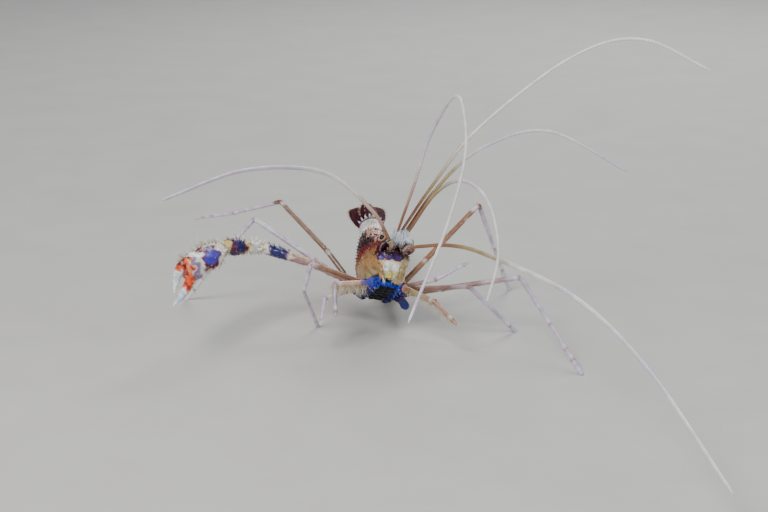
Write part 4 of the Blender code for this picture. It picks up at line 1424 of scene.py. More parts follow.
@dataclass
class Blade:
    """One flat blade of the tail fan, with a rib along its middle, saw teeth and hairs along its edges."""

    start: Array
    run: Array
    side: Array
    length: float
    half_width: float
    thickness: float
    rib: float
    tooth_seed: int
    hair_seed: int
    outline: tuple = ((0.0, 0.5), (0.25, 0.85), (0.6, 1.0), (0.88, 0.75), (0.985, 0.35), (1.0, 0.06))
    steps: int = 60
    around: int = 64
    hairs: int = 150

    def grow(self, skin: Skin, fringe: Skin) -> Array:
        """Add the blade.

        Args:
            skin: the skin that takes the blade and its teeth.
            fringe: the skin that takes its hairs.

        Returns:
            The blade's rows.
        """
        rows = self._rows()
        skin.loft(rows, self._paint(rows))
        dice = default_rng(self.tooth_seed)
        row = np.arange(12, 56, 4)
        for column, hand in ((0, 1), (self.around // 2, -1)):
            skin.thorns(rows[row, column], self.side * hand * 0.7 + self.run * 0.8,
                        dice.uniform(0.35, 0.55, len(row)), 0.1, MAROON, BONE, sides=5)
        dice = default_rng(self.hair_seed)
        spot = dice.uniform(0.35, 0.995, self.hairs)
        first_edge = dice.random(self.hairs) < 0.5
        spots = (spot * self.steps).astype(int), np.where(first_edge, 0, self.around // 2), spot
        edge = np.where(first_edge, 1.0, -1.0)[:, None] * self.side * (1.05 - ramp(spot, 0.8, 1.0))[:, None]
        fringe.hairs(rows, spots, edge + self.run * 0.9, dice.uniform(0.7, 1.2, self.hairs), 0.035,
                     (CRIMSON, BONE))
        return rows

    def _rows(self) -> Array:
        """Return the rows of the blade, with its rib and a fold inside each edge.

        Returns:
            The points, ring by ring.
        """
        share, size = smooth_route(self.outline, self.steps).T
        rise = np.cross(self.side, self.run)
        line = self.start + self.run * (share * self.length)[:, None]
        rows = ovals(line, self.side, rise, self.half_width * size, self.thickness * (1 - 0.5 * share),
                     self.around)
        across = np.sum((rows - line[:, None]) * self.side, axis=-1)
        above = np.sign(np.sum((rows - line[:, None]) * rise, axis=-1))
        lift = self.rib * hump(across, 0, 0.22) + 0.4 * self.rib * hump(np.abs(across), 0.75, 0.16)
        lift = lift * above * (1 - 0.6 * share[:, None]) * 0.5
        return rows + rise * lift[..., None]

    def _paint(self, rows: Array) -> Array:
        """Return the blade's colours, dark red with blacker patches and a paler tip.

        Args:
            rows: the blade's points.

        Returns:
            A colour for each point.
        """
        share = np.linspace(0, 1, len(rows))[:, None]
        return layered(
            MAROON,
            (BLACK_RED, ramp(wander(rows, 1.2, 97), 0.0, 0.9)),
            (CRIMSON, ramp(wander(rows, 1.6, 98), 0.5, 1.1) * 0.2),
            (UMBER * 0.6, ramp(share + 0.1 * wander(rows, 0.8, 99), 0.78, 1.0) * 0.8),
            (BLACK_RED, ramp(wander(rows, 0.5, 100), 0.7, 1.0) * 0.8),
        )


@dataclass
class TailFan:
    """The telson and the two uropods, each of two blades on a stalk."""

    telson_length: float = 9.1
    telson_climb: float = 21.0
    telson_half_width: float = 1.6
    uropod_length: float = 8.0
    uropod_half_width: float = 1.5
    uropod_tilt: float = 7.0
    spreads: tuple = ((5.0, 0.3), (12.0, 0.42))

    def build(self, abdomen: Abdomen) -> None:
        """Make the fan.

        Args:
            abdomen: the rings that it closes.
        """
        run = direction(180 + abdomen.somites[-1].heading, self.telson_climb)
        side = unit(np.cross(run, Z))
        start = abdomen.joints[-1] + abdomen.runs[-1] * GAP
        fringe = Skin()
        skin = Skin()
        telson = Blade(start - run * 0.5, run, side, self.telson_length, self.telson_half_width, 0.52, 0.35,
                       90, 91)
        rows = telson.grow(skin, fringe)
        row = np.arange(8, 50, 6)
        for column in (12, 20):
            skin.thorns(rows[row, column], np.cross(side, run) + run * 0.8, 0.6, 0.11, MAROON, BONE)
        skin.piece("telson_blade", TAIL, ("telson",))
        for which in Side:
            self._uropod(which, start, run, side, fringe)
        fringe.piece("tail_fringe", BRISTLE)

    def _uropod(self, which: Side, start: Array, run: Array, side: Array, fringe: Skin) -> None:
        """Make the uropod of one side, a stalk with two blades.

        Args:
            which: the side of the body.
            start: where the tail fan starts.
            run: the direction in which the fan points.
            side: the direction across the fan.
            fringe: the skin that takes the hairs.
        """
        hand = which.value
        skin = Skin()
        root = start + side * hand * 1.5 - Z * 0.45
        stalk = smooth_route((root - run * 1.0, root + run * 0.2, root + run * 1.3), 16)
        skin.loft(ovals(stalk, side, np.cross(side, run), 0.95, 0.6, 22), MAROON)
        for number, (spread, drop) in enumerate(self.spreads):
            blade_run = rotated(rotated(run, Z, -spread * hand), run, self.uropod_tilt * hand)
            blade_side = rotated(rotated(side, Z, -spread * hand), run, self.uropod_tilt * hand)
            seed = number + hand
            Blade(root + blade_run * 0.4 - Z * drop, blade_run, blade_side, self.uropod_length,
                  self.uropod_half_width, 0.26, 0.2, 92 + seed, 95 + seed).grow(skin, fringe)
        skin.piece(f"uropod_{which.word}_blades", TAIL, (f"uropod_{which.word}",))


# ---- Head ----

@dataclass
class Eyes:
    """The two eyes: a short stalk, a pale cup and a dark faceted cornea."""

    seat: tuple[float, float, float] = (9.3, 1.3, 7.2)
    centre: tuple[float, float, float] = (10.6, 3.05, 7.75)
    radius: float = 0.658
    outline: tuple = ((-0.5, 0.42), (0.1, 0.46), (0.45, 0.45), (0.75, 0.66), (0.95, 0.84), (1.06, 0.87),
                      (1.14, 0.82), (1.12, 0.7))
    bumps: tuple = ((12, 4), (16, 12), (18, 20), (14, 28), (20, 36), (11, 44))
    around: int = 48
    dome_around: int = 64

    def build(self) -> None:
        """Make both eyes, each of a stalk and a cornea."""
        for which in Side:
            seat, centre = which.place(*self.seat), which.place(*self.centre)
            axis = unit(centre - seat)
            side = level_side_of(np.array([seat, centre]))
            self._stalk(f"eye_{which.word}", seat, np.linalg.norm(centre - seat), axis, side)
            self._cornea(f"eye_{which.word}", centre, axis, side)

    def _stalk(self, name: str, seat: Array, back: float, axis: Array, side: Array) -> None:
        """Make one stalk, which widens into the cup that holds the cornea.

        Args:
            name: the eye's name.
            seat: the place that its outline is measured from.
            back: the distance from there to the middle of the cornea's ball.
            axis: the direction of the stalk.
            side: a direction across it.
        """
        reach, radius = smooth_route(self.outline, 40).T
        line = seat + axis * (reach * back)[:, None]
        rows = ovals(line, side, np.cross(axis, side), radius, radius, self.around)
        share = reach[:, None] + 0.03 * wander(rows, 0.5, 101)
        stalk = Skin()
        stalk.loft(rows, layered(
            MAROON,
            (TAN, ramp(share, -0.1, 0.4)),
            (BLACK_RED, window(share, 0.62, 0.86, 0.05) * 0.7),
            (FLESH, ramp(share, 0.86, 0.95)),
        ))
        row, column = np.array(self.bumps).T
        ways = outward(rows)[row, column] + axis * 0.4
        stalk.thorns(rows[row, column], ways, 0.4, 0.07, TAN, BONE, sides=5)
        stalk.piece(f"{name}_stalk", SHELL)

    def _cornea(self, name: str, centre: Array, axis: Array, side: Array) -> None:
        """Make one cornea, a dome that is nearly black but for its rim.

        Args:
            name: the eye's name.
            centre: the middle of the ball that the dome belongs to.
            axis: the direction of the stalk.
            side: a direction across it.
        """
        swing = np.linspace(-24, 89, 44)
        turn = np.radians(swing)
        radius = np.cos(turn) * self.radius
        middle = centre + axis * (np.sin(turn) * self.radius)[:, None]
        dome = ovals(middle, side, np.cross(axis, side), radius, radius, self.dome_around)
        cornea = Skin()
        cornea.loft(dome, blend(SOOT, INK, ramp(swing, -20, 5))[:, None])
        cornea.piece(f"{name}_cornea", CORNEA, (name,))


@dataclass
class AntennalScales:
    """The flat scale outside each antenna's base, toothed outside and fringed inside."""

    seat: tuple[float, float, float] = (8.6, 2.2, 5.7)
    length: float = 4.4
    half_width: float = 0.95
    half_thickness: float = 0.3
    outline: tuple = ((0.0, 0.5), (0.25, 0.85), (0.6, 1.0), (0.88, 0.75), (0.98, 0.4), (1.0, 0.08))
    steps: int = 48
    around: int = 48

    def build(self, fringe: Skin) -> None:
        """Make both scales.

        Args:
            fringe: the skin that takes their hairs.
        """
        # Painted shade: the right scale darkens towards a dark plum, the left one only towards mauve.
        self._scale(Side.RIGHT, PLUM * 0.4, 110, fringe)
        self._scale(Side.LEFT, MAUVE, 260, fringe)

    def _scale(self, which: Side, tip: Array, hairs: int, fringe: Skin) -> None:
        """Make the scale of one side.

        Args:
            which: its side.
            tip: the colour towards its tip.
            hairs: the number of hairs along its inner edge.
            fringe: the skin that takes them.
        """
        hand = which.value
        run = unit(AHEAD * 0.95 + LEFT * hand * 0.2 + UP * 0.12)
        side = LEFT * hand - UP * 0.9
        side = unit(side - run * (side @ run))
        share, size = smooth_route(self.outline, self.steps).T
        line = which.place(*self.seat) + run * (share * self.length)[:, None]
        rise = np.cross(side, run)
        rows = ovals(line, side, rise, self.half_width * size, self.half_thickness * (0.8 - 0.5 * share),
                     self.around)
        across = np.sum((rows - line[:, None]) * side, axis=-1)
        rows = rows + rise * (0.1 * hump(across, 0.25, 0.15) * (1 - share[:, None]))[..., None]
        skin = Skin()
        skin.loft(rows, blend(MAROON, tip, ramp(share[:, None] + 0.1 * wander(rows, 1.0, 111), 0.1, 0.9)))
        skin.thorns(rows[8:44:5, 0], side * 0.6 + run, 0.5, 0.09, ROSE, BONE, sides=5)
        name = f"antennal_scale_{which.word}"
        skin.piece(f"{name}_blade", LIMB, (name,))
        dice = default_rng(112 + hand)
        spot = dice.uniform(0.3, 0.99, hairs)
        spots = (spot * self.steps).astype(int), np.full(hairs, self.around // 2), spot
        ways = -side * (1.0 - 0.5 * ramp(spot, 0.7, 1))[:, None] + run * 0.25
        ways = ways + dice.normal(size=(hairs, 3)) * 0.12
        lengths = dice.uniform(1.2, 2.4, hairs)
        roots = blend(MAUVE * 0.7, SNOW, dice.random(hairs) * 0.8)
        fringe.hairs(rows, spots, ways, lengths, 0.055, (roots, SNOW))


@dataclass(frozen=True)
class FlagellumPlan:
    """One long feeler: its route, how far its brown reaches and the colour that this passes through.

    The radii are those at its root, at a quarter of its length and at its tip.  Its lengths are the number of
    nodes that the frame has for it.
    """

    route: tuple
    brown: float
    middle: Array
    radii: tuple[float, float, float]
    stations: int
    lengths: int

    @property
    def run(self) -> Array:
        """Return the direction that it starts in."""
        return unit(np.array(self.route[1]) - np.array(self.route[0]))

    @property
    def root(self) -> Array:
        """Return the place just short of its first point."""
        return np.array(self.route[0]) - self.run * GAP


def antenna(route: tuple, brown: float, middle: Array) -> FlagellumPlan:
    """Return the plan of an antenna, one of the two thickest feelers."""
    return FlagellumPlan(route, brown, middle, (0.36, 0.46, 0.32), 30, 3)


def antennule(route: tuple, brown: float, middle: Array) -> FlagellumPlan:
    """Return the plan of an antennule's feeler, one of the four thinner ones."""
    return FlagellumPlan(route, brown, middle, (0.28, 0.38, 0.26), 24, 2)


PALE_SAND = SAND * 0.6
FLAGELLA = {
    "antenna_left": antenna(
        ((6.6, -7.8, 20.4), (14.0, -15.4, 22.9), (21.1, -23.1, 23.1), (36.1, -46.4, 21.7),
         (47.0, -71.0, 16.0), (56.0, -107.6, 8.0)), 20.0, PALE_SAND),
    "antenna_right": antenna(
        ((1.9, -8.1, 22.1), (-1.6, -11.0, 29.0), (-10.9, -14.8, 37.7), (-25.5, -31.2, 42.2),
         (-39.4, -50.2, 41.2)), 5.0, ROSE),
    "antennule_right_outer": antennule(
        ((3.7, -6.1, 23.4), (6.9, -10.6, 34.2), (10.2, -12.7, 45.2), (14.9, -22.6, 54.9), (16.2, -36.0, 48.0),
         (12.6, -52.0, 38.0), (5.0, -72.5, 25.0)), 9.0, ROSE),
    "antennule_right_inner": antennule(
        ((4.4, -5.7, 23.2), (10.6, -7.8, 33.3), (20.2, -6.4, 45.2), (38.5, -5.5, 59.3), (52.1, -6.5, 63.1),
         (65.6, -11.2, 57.6)), 12.0, PALE_SAND),
    "antennule_left_inner": antennule(
        ((5.3, -5.3, 23.1), (11.4, -5.6, 32.0), (20.7, 1.2, 38.9), (35.0, 6.0, 41.6), (52.3, 9.6, 32.2)),
        13.0, PALE_SAND),
    "antennule_left_outer": antennule(
        ((6.0, -5.3, 23.1), (11.2, -10.6, 32.4), (16.4, -15.2, 36.2), (21.2, -22.2, 33.8),
         (22.9, -31.0, 26.0), (20.4, -39.1, 18.4)), 12.0, PALE_SAND),
}


@dataclass
class Feelers:
    """The jointed bases of the antennae and antennules, their long ringed flagella and the white brush."""

    base_steps: int = 72
    base_around: int = 32
    ring: float = 0.6
    around: int = 12
    fade: float = 14.0
    brush_hairs: int = 460

    def build(self, brush: Skin) -> None:
        """Make every feeler.

        Args:
            brush: the skin that takes the bristles at their bases.
        """
        self._antenna_base(Side.RIGHT, 0.52, PUTTY)
        self._antennule_base(Side.RIGHT, brush)
        self._antenna_base(Side.LEFT, 0.62, MAUVE)
        self._antennule_base(Side.LEFT, brush)
        for name, plan in FLAGELLA.items():
            self._flagellum(name, plan)

    def _base(self, name: str, line: Array, radii: tuple, joints: tuple[float, ...],
              tints: tuple[Array, Array]) -> Array:
        """Make one jointed base.

        Args:
            name: the node that it stands for.
            line: its few points.
            radii: its radius at each of them.
            joints: the shares of its length where it is jointed.
            tints: its colours at its root and its end.

        Returns:
            Its rows.
        """
        route = softened(even_steps(line, self.base_steps), 6)
        share = np.linspace(0, 1, len(route))
        known = travel(line)
        thick = np.interp(share, known / known[-1], radii)
        for joint in joints:
            thick = thick * (1 + 0.16 * hump(share, joint - 0.05, 0.05)
                             - 0.2 * hump(share, joint + 0.015, 0.02))
        base = Surface.along(route, thick, self.base_around)
        rows = base.rows
        skin = Skin()
        tint = blend(*tints, ramp(share[:, None] + 0.08 * wander(rows, 1.0, 120), 0.5, 0.85))
        skin.loft(rows, tint)
        tangents = unit(np.gradient(route, axis=0))
        for joint in (*joints, 0.97):
            row = int((joint - 0.05) * self.base_steps)
            column = np.arange(0, self.base_around, 5)
            skin.thorns(rows[row, column], base.normals[row, column] * 0.6 + tangents[row], 0.6, 0.1,
                        tint[row, column], BONE, sides=5)
        skin.piece(f"{name}_peduncle", LIMB, (name,))
        return rows

    def _antenna_base(self, side: Side, thickness: float, tint: Array) -> None:
        """Make the base of one antenna.

        Args:
            side: its side.
            thickness: its radius where it is thickest.
            tint: its colour towards the antenna.
        """
        plan = FLAGELLA[f"antenna_{side.word}"]
        line = np.array([side.place(8.9, 1.45, 4.9), side.place(12.0, 1.45, 5.4), plan.root - plan.run,
                         plan.root])
        self._base(f"antenna_base_{side.word}", line, (0.7, thickness, 0.5, 0.46), (0.3, 0.62),
                   (MAROON * 0.8, tint))

    def _antennule_base(self, side: Side, brush: Skin) -> None:
        """Make the base of one antennule, with its white brush.

        Args:
            side: the antennule's side of the body.
            brush: the skin that takes the white hairs.
        """
        outer, inner = FLAGELLA[f"antennule_{side.word}_outer"], FLAGELLA[f"antennule_{side.word}_inner"]
        root, run = (outer.root + inner.root) / 2, unit(outer.run + inner.run)
        line = np.array([side.place(9.2, 0.6, 6.1), side.place(11.9, 0.75, 6.6), root - run * 0.9,
                         root - run * 0.3])
        rows = self._base(f"antennule_base_{side.word}", line, (0.45, 0.45, 0.45, 0.55), (0.42, 0.72),
                          (MAROON, BROWN))
        dice = default_rng(130 + side.value)
        count = self.brush_hairs
        share, turn = dice.uniform(0.42, 0.9, count), dice.uniform(0, 1, count)
        row, column = (share * self.base_steps).astype(int), (turn * self.base_around).astype(int)
        ways = outward(rows)[row, column] * 0.45 + UP + AHEAD * 0.15 + dice.normal(size=(count, 3)) * 0.14
        brush.thorns(rows[row, column], ways, dice.uniform(1.1, 2.4, count), 0.08,
                     blend(MAUVE * 0.35, SNOW, dice.random(count)), SNOW, sides=4,
                     unwrap=np.stack([turn, share], axis=1))

    def _flagellum(self, name: str, plan: FlagellumPlan) -> None:
        """Make one long ringed feeler.

        Args:
            name: the feeler's name.
            plan: the feeler's plan.
        """
        line = even_steps(smooth_route(smooth_route(plan.route, plan.stations), 360), 900)
        reach = travel(line)
        share = reach / reach[-1]
        saw = (reach / self.ring) % 1.0
        radius = np.interp(share, (0.0, 0.25, 1.0), plan.radii)
        radius = radius * (1.02 - 0.10 * (1 - saw) ** 3) * (1 - 0.75 * ramp(share, 0.985, 1.0))
        rows = Surface.along(line, radius, self.around).rows
        far = ramp(reach, plan.brown, plan.brown + self.fade)
        tint = layered(
            BROWN,
            (plan.middle, ramp(reach, plan.brown * 0.5, plan.brown)),
            (WHITE, far),
            (LILAC, ramp(wander(line, 14, 140), 0.0, 0.8) * far * 0.8),
        )
        tint = blend(tint, tint * 0.72, hump(saw, 0.0, 0.18) + hump(saw, 1.0, 0.12))
        skin = Skin()
        skin.loft(rows, tint[:, None])
        nodes = tuple(f"{name}_{number}" for number in range(1, plan.lengths + 1))
        skin.piece(f"{name}_flagellum", FEELER, nodes)


# ---- Limbs ----

@dataclass
class SlenderLimbs:
    """The walking legs and the hairy maxillipeds, each one jointed piece."""

    foot_radius: float = 0.45
    hip_share: float = 0.22
    points_for_each_length: int = 5
    around: int = 20
    curtain: int = 330

    def build(self, hairs: Skin) -> None:
        """Make every slender limb.

        Args:
            hairs: the skin that takes the bristles of all of them.
        """
        for number, plan in enumerate(LIMB_PLANS):
            self._limb(plan, number, hairs)

    def _route(self, plan: LimbPlan) -> tuple[Array, Array, list[float]]:
        """Return a limb's line, its radii and the shares of its length where its joints lie.

        Args:
            plan: the limb's plan.

        Returns:
            The points, a radius for each, and the shares.
        """
        joints = chain(hip(plan.seat, plan.side), plan.upper + plan.lower, plan.stands)
        root, knee, tip = plan.girth.value
        waist = root + (knee - root) * 0.7
        bend = joints[0] + (joints[1] - joints[0]) * self.hip_share
        line = [limb_seat(plan.seat, plan.side), joints[0], bend]
        marks = []
        for number, (start, end) in enumerate(zip(joints, joints[1:])):
            line += [(start + end) / 2, end] if number else [end]
            marks.append(len(line) - 1)
        cut, last = marks[len(plan.upper) - 1], marks[-1]
        radii = [root, root, waist]
        radii += [waist + (knee - waist) * step / (cut - 2) for step in range(1, cut - 1)]
        radii += [knee + (tip - knee) * step / (last - cut) for step in range(1, last - cut + 1)]
        if plan.stands:
            radii[-1] = self.foot_radius
        line = np.array(line)
        reach = travel(line)
        fine = even_steps(line, int(reach[-1] * self.points_for_each_length) - 1)
        radius = np.interp(np.linspace(0, 1, len(fine)), reach / reach[-1], radii)
        return softened(fine, 3), radius, list(reach[marks] / reach[-1])

    def _limb(self, plan: LimbPlan, number: int, hairs: Skin) -> None:
        """Make one limb with its joints, thorns and hairs.

        Args:
            plan: the limb's plan.
            number: the limb's number, which seeds the random draws.
            hairs: the skin that takes its hairs.
        """
        line, radius, marks = self._route(plan)
        share = np.linspace(0, 1, len(line))
        long = np.linalg.norm(np.diff(line, axis=0), axis=1).sum()
        knots = self._knots(plan, marks)
        span = 1.0 / long
        for knot in knots:
            radius = radius * (1 + 0.22 * hump(share, knot - 0.45 * span, 0.5 * span)
                               - 0.18 * hump(share, knot + 0.15 * span, 0.2 * span))
        if plan.stands:
            radius[-1] = min(radius[-1], self.foot_radius)
        else:
            radius = radius * (1 - 0.8 * ramp(share, 1 - 0.8 / long, 1))
        if plan.kind is LimbKind.MAXILLIPED:
            radius = radius * (0.86 - 0.28 * ramp(share, marks[0] - 0.02, marks[0] + 0.08))
        tangents, sides, rises = carried_frames(line, level_side_of(line))
        rows = ovals(line, sides, rises, radius, radius, self.around)
        if plan.stands:
            rows[-1, :, 2] = 0.0
            rows[..., 2] = np.maximum(rows[..., 2], 0.0)
        limb = Surface(rows, outward(rows), tangents, self._paint(plan, rows, share, knots, long))
        skin = Skin()
        skin.loft(rows, limb.tint)
        dice = default_rng(200 + number)
        count = int(long * 0.9)
        row = (dice.uniform(0.1, 0.86, count) * len(line)).astype(int)
        column = dice.integers(0, self.around, count)
        limb.thorns(skin, row, column, limb.ways(row, column, 0.7, 0.9), dice.uniform(0.25, 0.5, count), 0.06,
                    BONE, sides=4)
        if plan.kind is LimbKind.PINCERED and not plan.stands:
            self._pincer(skin, line[-1], tangents[-1], sides[-1])
        nodes = (f"{plan.label}_upper", f"{plan.label}_lower") if plan.lower else (plan.label,)
        skin.piece(f"{plan.label}_limb", LIMB, nodes)
        if plan.kind is LimbKind.MAXILLIPED:
            self._add_curtain(plan.side, limb, hairs, dice)
        else:
            self._add_scatter(plan, limb, hairs, dice)

    def _knots(self, plan: LimbPlan, marks: list[float]) -> list[float]:
        """Return the shares where a limb shows a joint: its bends and the joints between them.

        Args:
            plan: the limb's plan.
            marks: the shares of its length where its bends lie.

        Returns:
            The shares, in rising order.
        """
        knots = [0.12, *marks[:-1], 0.93]
        if plan.kind is LimbKind.RINGED:
            knots += [marks[0] * 0.45, (marks[-2] + 1) / 2, (marks[-2] + 3) / 4]
        return sorted(knots)

    def _paint(self, plan: LimbPlan, rows: Array, share: Array, knots: list[float],
               long: float) -> Array:
        """Return a limb's colours, with dark joints and a pale ring short of each.

        Args:
            plan: the limb.
            rows: its points.
            share: how far along the limb each row is.
            knots: the shares where it shows a joint.
            long: its length.

        Returns:
            A colour for each point.
        """
        drift = wander(rows, 3.0, 210)
        along = np.broadcast_to(share[:, None], drift.shape)
        if plan.kind is not LimbKind.MAXILLIPED:
            near, middle, start, end = plan.tints
            tint = layered(
                near,
                (middle, ramp(along + 0.05 * drift, 0.08, 0.4)),
                (LILAC, ramp(along + 0.06 * drift, start, end)),
            )
        elif plan.side is Side.RIGHT:
            far = along * long
            skin = layered(ROSE, (SHELL_PINK, ramp(drift, -0.3, 0.9)), (LILAC * 0.6, ramp(along, 0.55, 0.68)))
            tint = blend(blend(BLUE, PLUM, ramp(far, 3.4, 5.0)), skin, ramp(far, 4.8, 6.0))
        else:
            tint = layered(SAND * 0.5, (UMBER, ramp(drift, -0.3, 0.9)), (ROSE, ramp(along, 0.3, 0.7) * 0.5))
        if plan.pale:
            tint = blend(tint, WHITE, ramp(along, 0.55, 0.7))
        for knot in knots:
            tint = blend(tint, CRIMSON * 0.8, hump(along, knot, 0.35 / long) * 0.5)
            tint = blend(tint, WHITE, hump(along, knot - 1.0 / long, 0.5 / long) * 0.5)
        return tint

    def _pincer(self, skin: Skin, tip: Array, way: Array, side: Array) -> None:
        """Add the tiny pincer at a limb's tip.

        Args:
            skin: the skin that takes it.
            tip: the limb's tip.
            way: the direction in which the limb ends.
            side: the direction in which the pincer opens.
        """
        share = np.linspace(0, 1, 15)
        for hand in (-1, 1):
            out = side * hand
            line = smooth_route((tip - way * 2.2, tip - way * 0.9 + out * 0.28, tip + out * 0.05), 14)
            _, sides, rises = carried_frames(line, side)
            skin.loft(ovals(line, sides, rises, 0.26 - 0.18 * share, 0.22 - 0.15 * share, 12), BONE)

    def _add_curtain(self, side: Side, limb: Surface, hairs: Skin, dice: Generator) -> None:
        """Hang a curtain of bristles from a maxilliped's underside.

        Args:
            side: the maxilliped's side of the body.
            limb: the maxilliped's surface.
            hairs: the skin that takes the bristles.
            dice: the random generator.
        """
        is_right = side is Side.RIGHT
        row, column, share = limb.spots((0.2, 0.66 if is_right else 0.95), self.curtain, dice)
        below = limb.normals[row, column, 2] < 0.25
        row, column, share = row[below], column[below], share[below]
        count = len(row)
        ways = limb.normals[row, column] * 0.55 - Z * 0.7 + limb.tangents[row] * 0.15
        ways = ways + dice.normal(size=(count, 3)) * 0.32
        lengths = dice.uniform(1.2, 3.9, count) * (1.0 if is_right else 0.6)
        hairs.hairs(limb.rows, (row, column, share), ways, lengths, 0.05, (SAND * 0.7, BONE))

    def _add_scatter(self, plan: LimbPlan, limb: Surface, hairs: Skin, dice: Generator) -> None:
        """Scatter thin hairs over a leg.

        Args:
            plan: the leg's plan.
            limb: the leg's surface.
            hairs: the skin that takes the hairs.
            dice: the random generator.
        """
        count = int(len(limb.rows) * 0.5)
        spots = limb.spots((0.3, 0.97), count, dice)
        lengths = dice.uniform(0.5, 1.1, count) * (1.3 if plan.pale else 1.0)
        hairs.hairs(limb.rows, spots, limb.ways(*spots[:2], 0.8, 0.6), lengths, 0.035, (SAND * 0.7, WHITE))


@dataclass
class GreatClaws:
    """The great claws of the third legs: arm, wrist, palm with its fixed finger, and moving finger.

    The outlines are shares of a part's length with its radius or its half width there.  The palm's rows of
    thorns are the column each keeps to, how far it strays and the size of its thorns.
    """

    wrist_outline: tuple = ((0.0, 0.8), (0.05, 0.98), (0.2, 1.3), (0.38, 1.42), (0.5, 1.2), (0.62, 1.6),
                            (0.78, 1.8), (0.92, 1.45), (0.985, 1.1), (1.0, 0.85))
    palm_outline: tuple = ((0.0, 0.75), (0.03, 1.1), (0.12, 1.7), (0.25, 2.3), (0.45, 2.66), (0.7, 2.74),
                           (0.88, 2.6), (1.0, 2.4), (1.03, 2.1))
    palm_half_width: float = 2.7
    palm_thickness: float = 0.54
    palm_thorns: tuple = ((0, 3, 1.05), (28, 3, 1.05), (8, 2, 0.6), (20, 2, 0.6), (36, 2, 0.6), (48, 2, 0.6))
    finger_half_width: float = 1.0
    finger_half_thickness: float = 0.85
    finger_splay: float = 1.5
    knuckle_slant: float = 2.2
    moving_share: float = 0.72
    arm_steps: int = 140
    arm_around: int = 30
    wrist_around: int = 40
    palm_around: int = 56
    finger_steps: int = 70
    finger_around: int = 36

    def build(self, hairs: Skin) -> None:
        """Make both claws.

        Args:
            hairs: the skin that takes their bristles.
        """
        for plan in CLAW_PLANS:
            joints = chain(hip(plan.seat, plan.side), plan.segments, False)
            name = f"claw_{plan.side.word}"
            self._arm(name, plan, joints, hairs)
            self._wrist(name, joints, hairs)
            self._hand(name, plan, joints, hairs)

    def _tube(self, line: Array, radius: Array, around: int) -> Surface:
        """Return a round, slightly uneven tube.

        Args:
            line: the tube's centre line.
            radius: its radius at each point of the line.
            around: the number of points round a ring.

        Returns:
            The tube's surface, without colours.
        """
        tube = Surface.along(line, radius, around)
        tube.rows = tube.rows + tube.normals * (0.05 * wander(tube.rows, 1.1, 301))[..., None]
        return tube

    def _arm(self, name: str, plan: ClawPlan, joints: list[Array], hairs: Skin) -> None:
        """Make the arm, from the body to the wrist.

        Args:
            name: the claw's name.
            plan: the claw's plan.
            joints: the claw's joints.
            hairs: the skin that takes its bristles.
        """
        corners = np.array([limb_seat(plan.seat, plan.side), *joints[:3]])
        known = travel(corners)
        share = np.linspace(0, 1, self.arm_steps + 1)
        bend, knee = known[1] / known[-1], known[2] / known[-1]
        radius = np.interp(share, [0, bend, knee, 1], [0.85, 0.85, 0.82, 1.25])
        radius = radius * (1 + 0.14 * hump(share, knee - 0.02, 0.02)
                           - 0.18 * hump(share, knee + 0.012, 0.012))
        radius = radius * (1 - 0.12 * hump(share, knee + 0.1, 0.07)) * (1 - 0.3 * ramp(share, 0.975, 1.0))
        arm = self._tube(softened(even_steps(corners, self.arm_steps), 4), radius, self.arm_around)
        upper = (share - knee) / (1 - knee)
        shaded_blue_fade = ramp(share * known[-1] - known[1], *plan.shaded_blue_fade)[:, None]
        # The arm's start has the leg bases' own blue, darkened to about a third as painted shade, passing
        # through plum into the arm's colours.
        stump = blend(BLUE * 0.35, PLUM, ramp(shaded_blue_fade, 0.3, 0.8))
        arm.tint = blend(stump, self._paint_arm(arm.rows, share, upper), ramp(shaded_blue_fade, 0.5, 1))
        skin = Skin()
        skin.loft(arm.rows, arm.tint)
        dice = default_rng(310 + plan.side.value)
        row = np.concatenate([np.arange(62, 138, 6), np.arange(66, 138, 6), np.arange(64, 138, 9)])
        score = arm.normals[row] @ Z + dice.normal(size=(len(row), self.arm_around)) * 0.28
        column = np.argmax(score, axis=1)
        size = 0.45 + 0.75 * ramp(share[row], 0.7, 1.0)
        tips = blend(arm.tint[row, column], WHITE, 0.8 - 0.7 * window(upper[row], 0.5, 0.88, 0.02))
        arm.thorns(skin, row, column, arm.ways(row, column, 0.9, 0.5), size, 0.13, tips)
        skin.piece(f"{name}_arm_shell", CLAW, (f"{name}_arm",))
        self._scatter(hairs, arm, (0.4, 0.99), 60, (0.7, 1.5), dice)

    def _paint_arm(self, rows: Array, share: Array, upper: Array) -> Array:
        """Return the arm's colours: brown, then rose, a navy band and a white end.

        Args:
            rows: its points.
            share: how far along the arm each row is.
            upper: how far each is from the elbow to the wrist, below 0 short of the elbow.

        Returns:
            A colour for each point.
        """
        drift = 0.04 * wander(rows, 1.6, 320)
        along = share[:, None] + drift * 0.4
        beyond = upper[:, None] + drift
        tint = layered(
            UMBER,
            (MAUVE, ramp(along + drift, 0.1, 0.5)),
            (CREAM, ramp(outward(rows)[..., 2], 0.7, 0.95) * window(beyond, 0.05, 0.5, 0.05) * 0.6),
            (CRIMSON, hump(upper, 0.0, 0.03)[:, None] * 0.6),
            (BONE, window(beyond, 0.46, 0.56, 0.03) * 0.7),
            (NAVY, window(beyond, 0.56, 0.87, 0.02)),
            (PURPLE, hump(beyond, 0.56, 0.04) * 0.6),
        )
        # Painted shade: the arm is darkened near the body. Its end turns white.
        return layered(tint, (tint * 0.4, 1 - ramp(along, 0.12, 0.3)), (WHITE, ramp(beyond, 0.87, 0.91)))

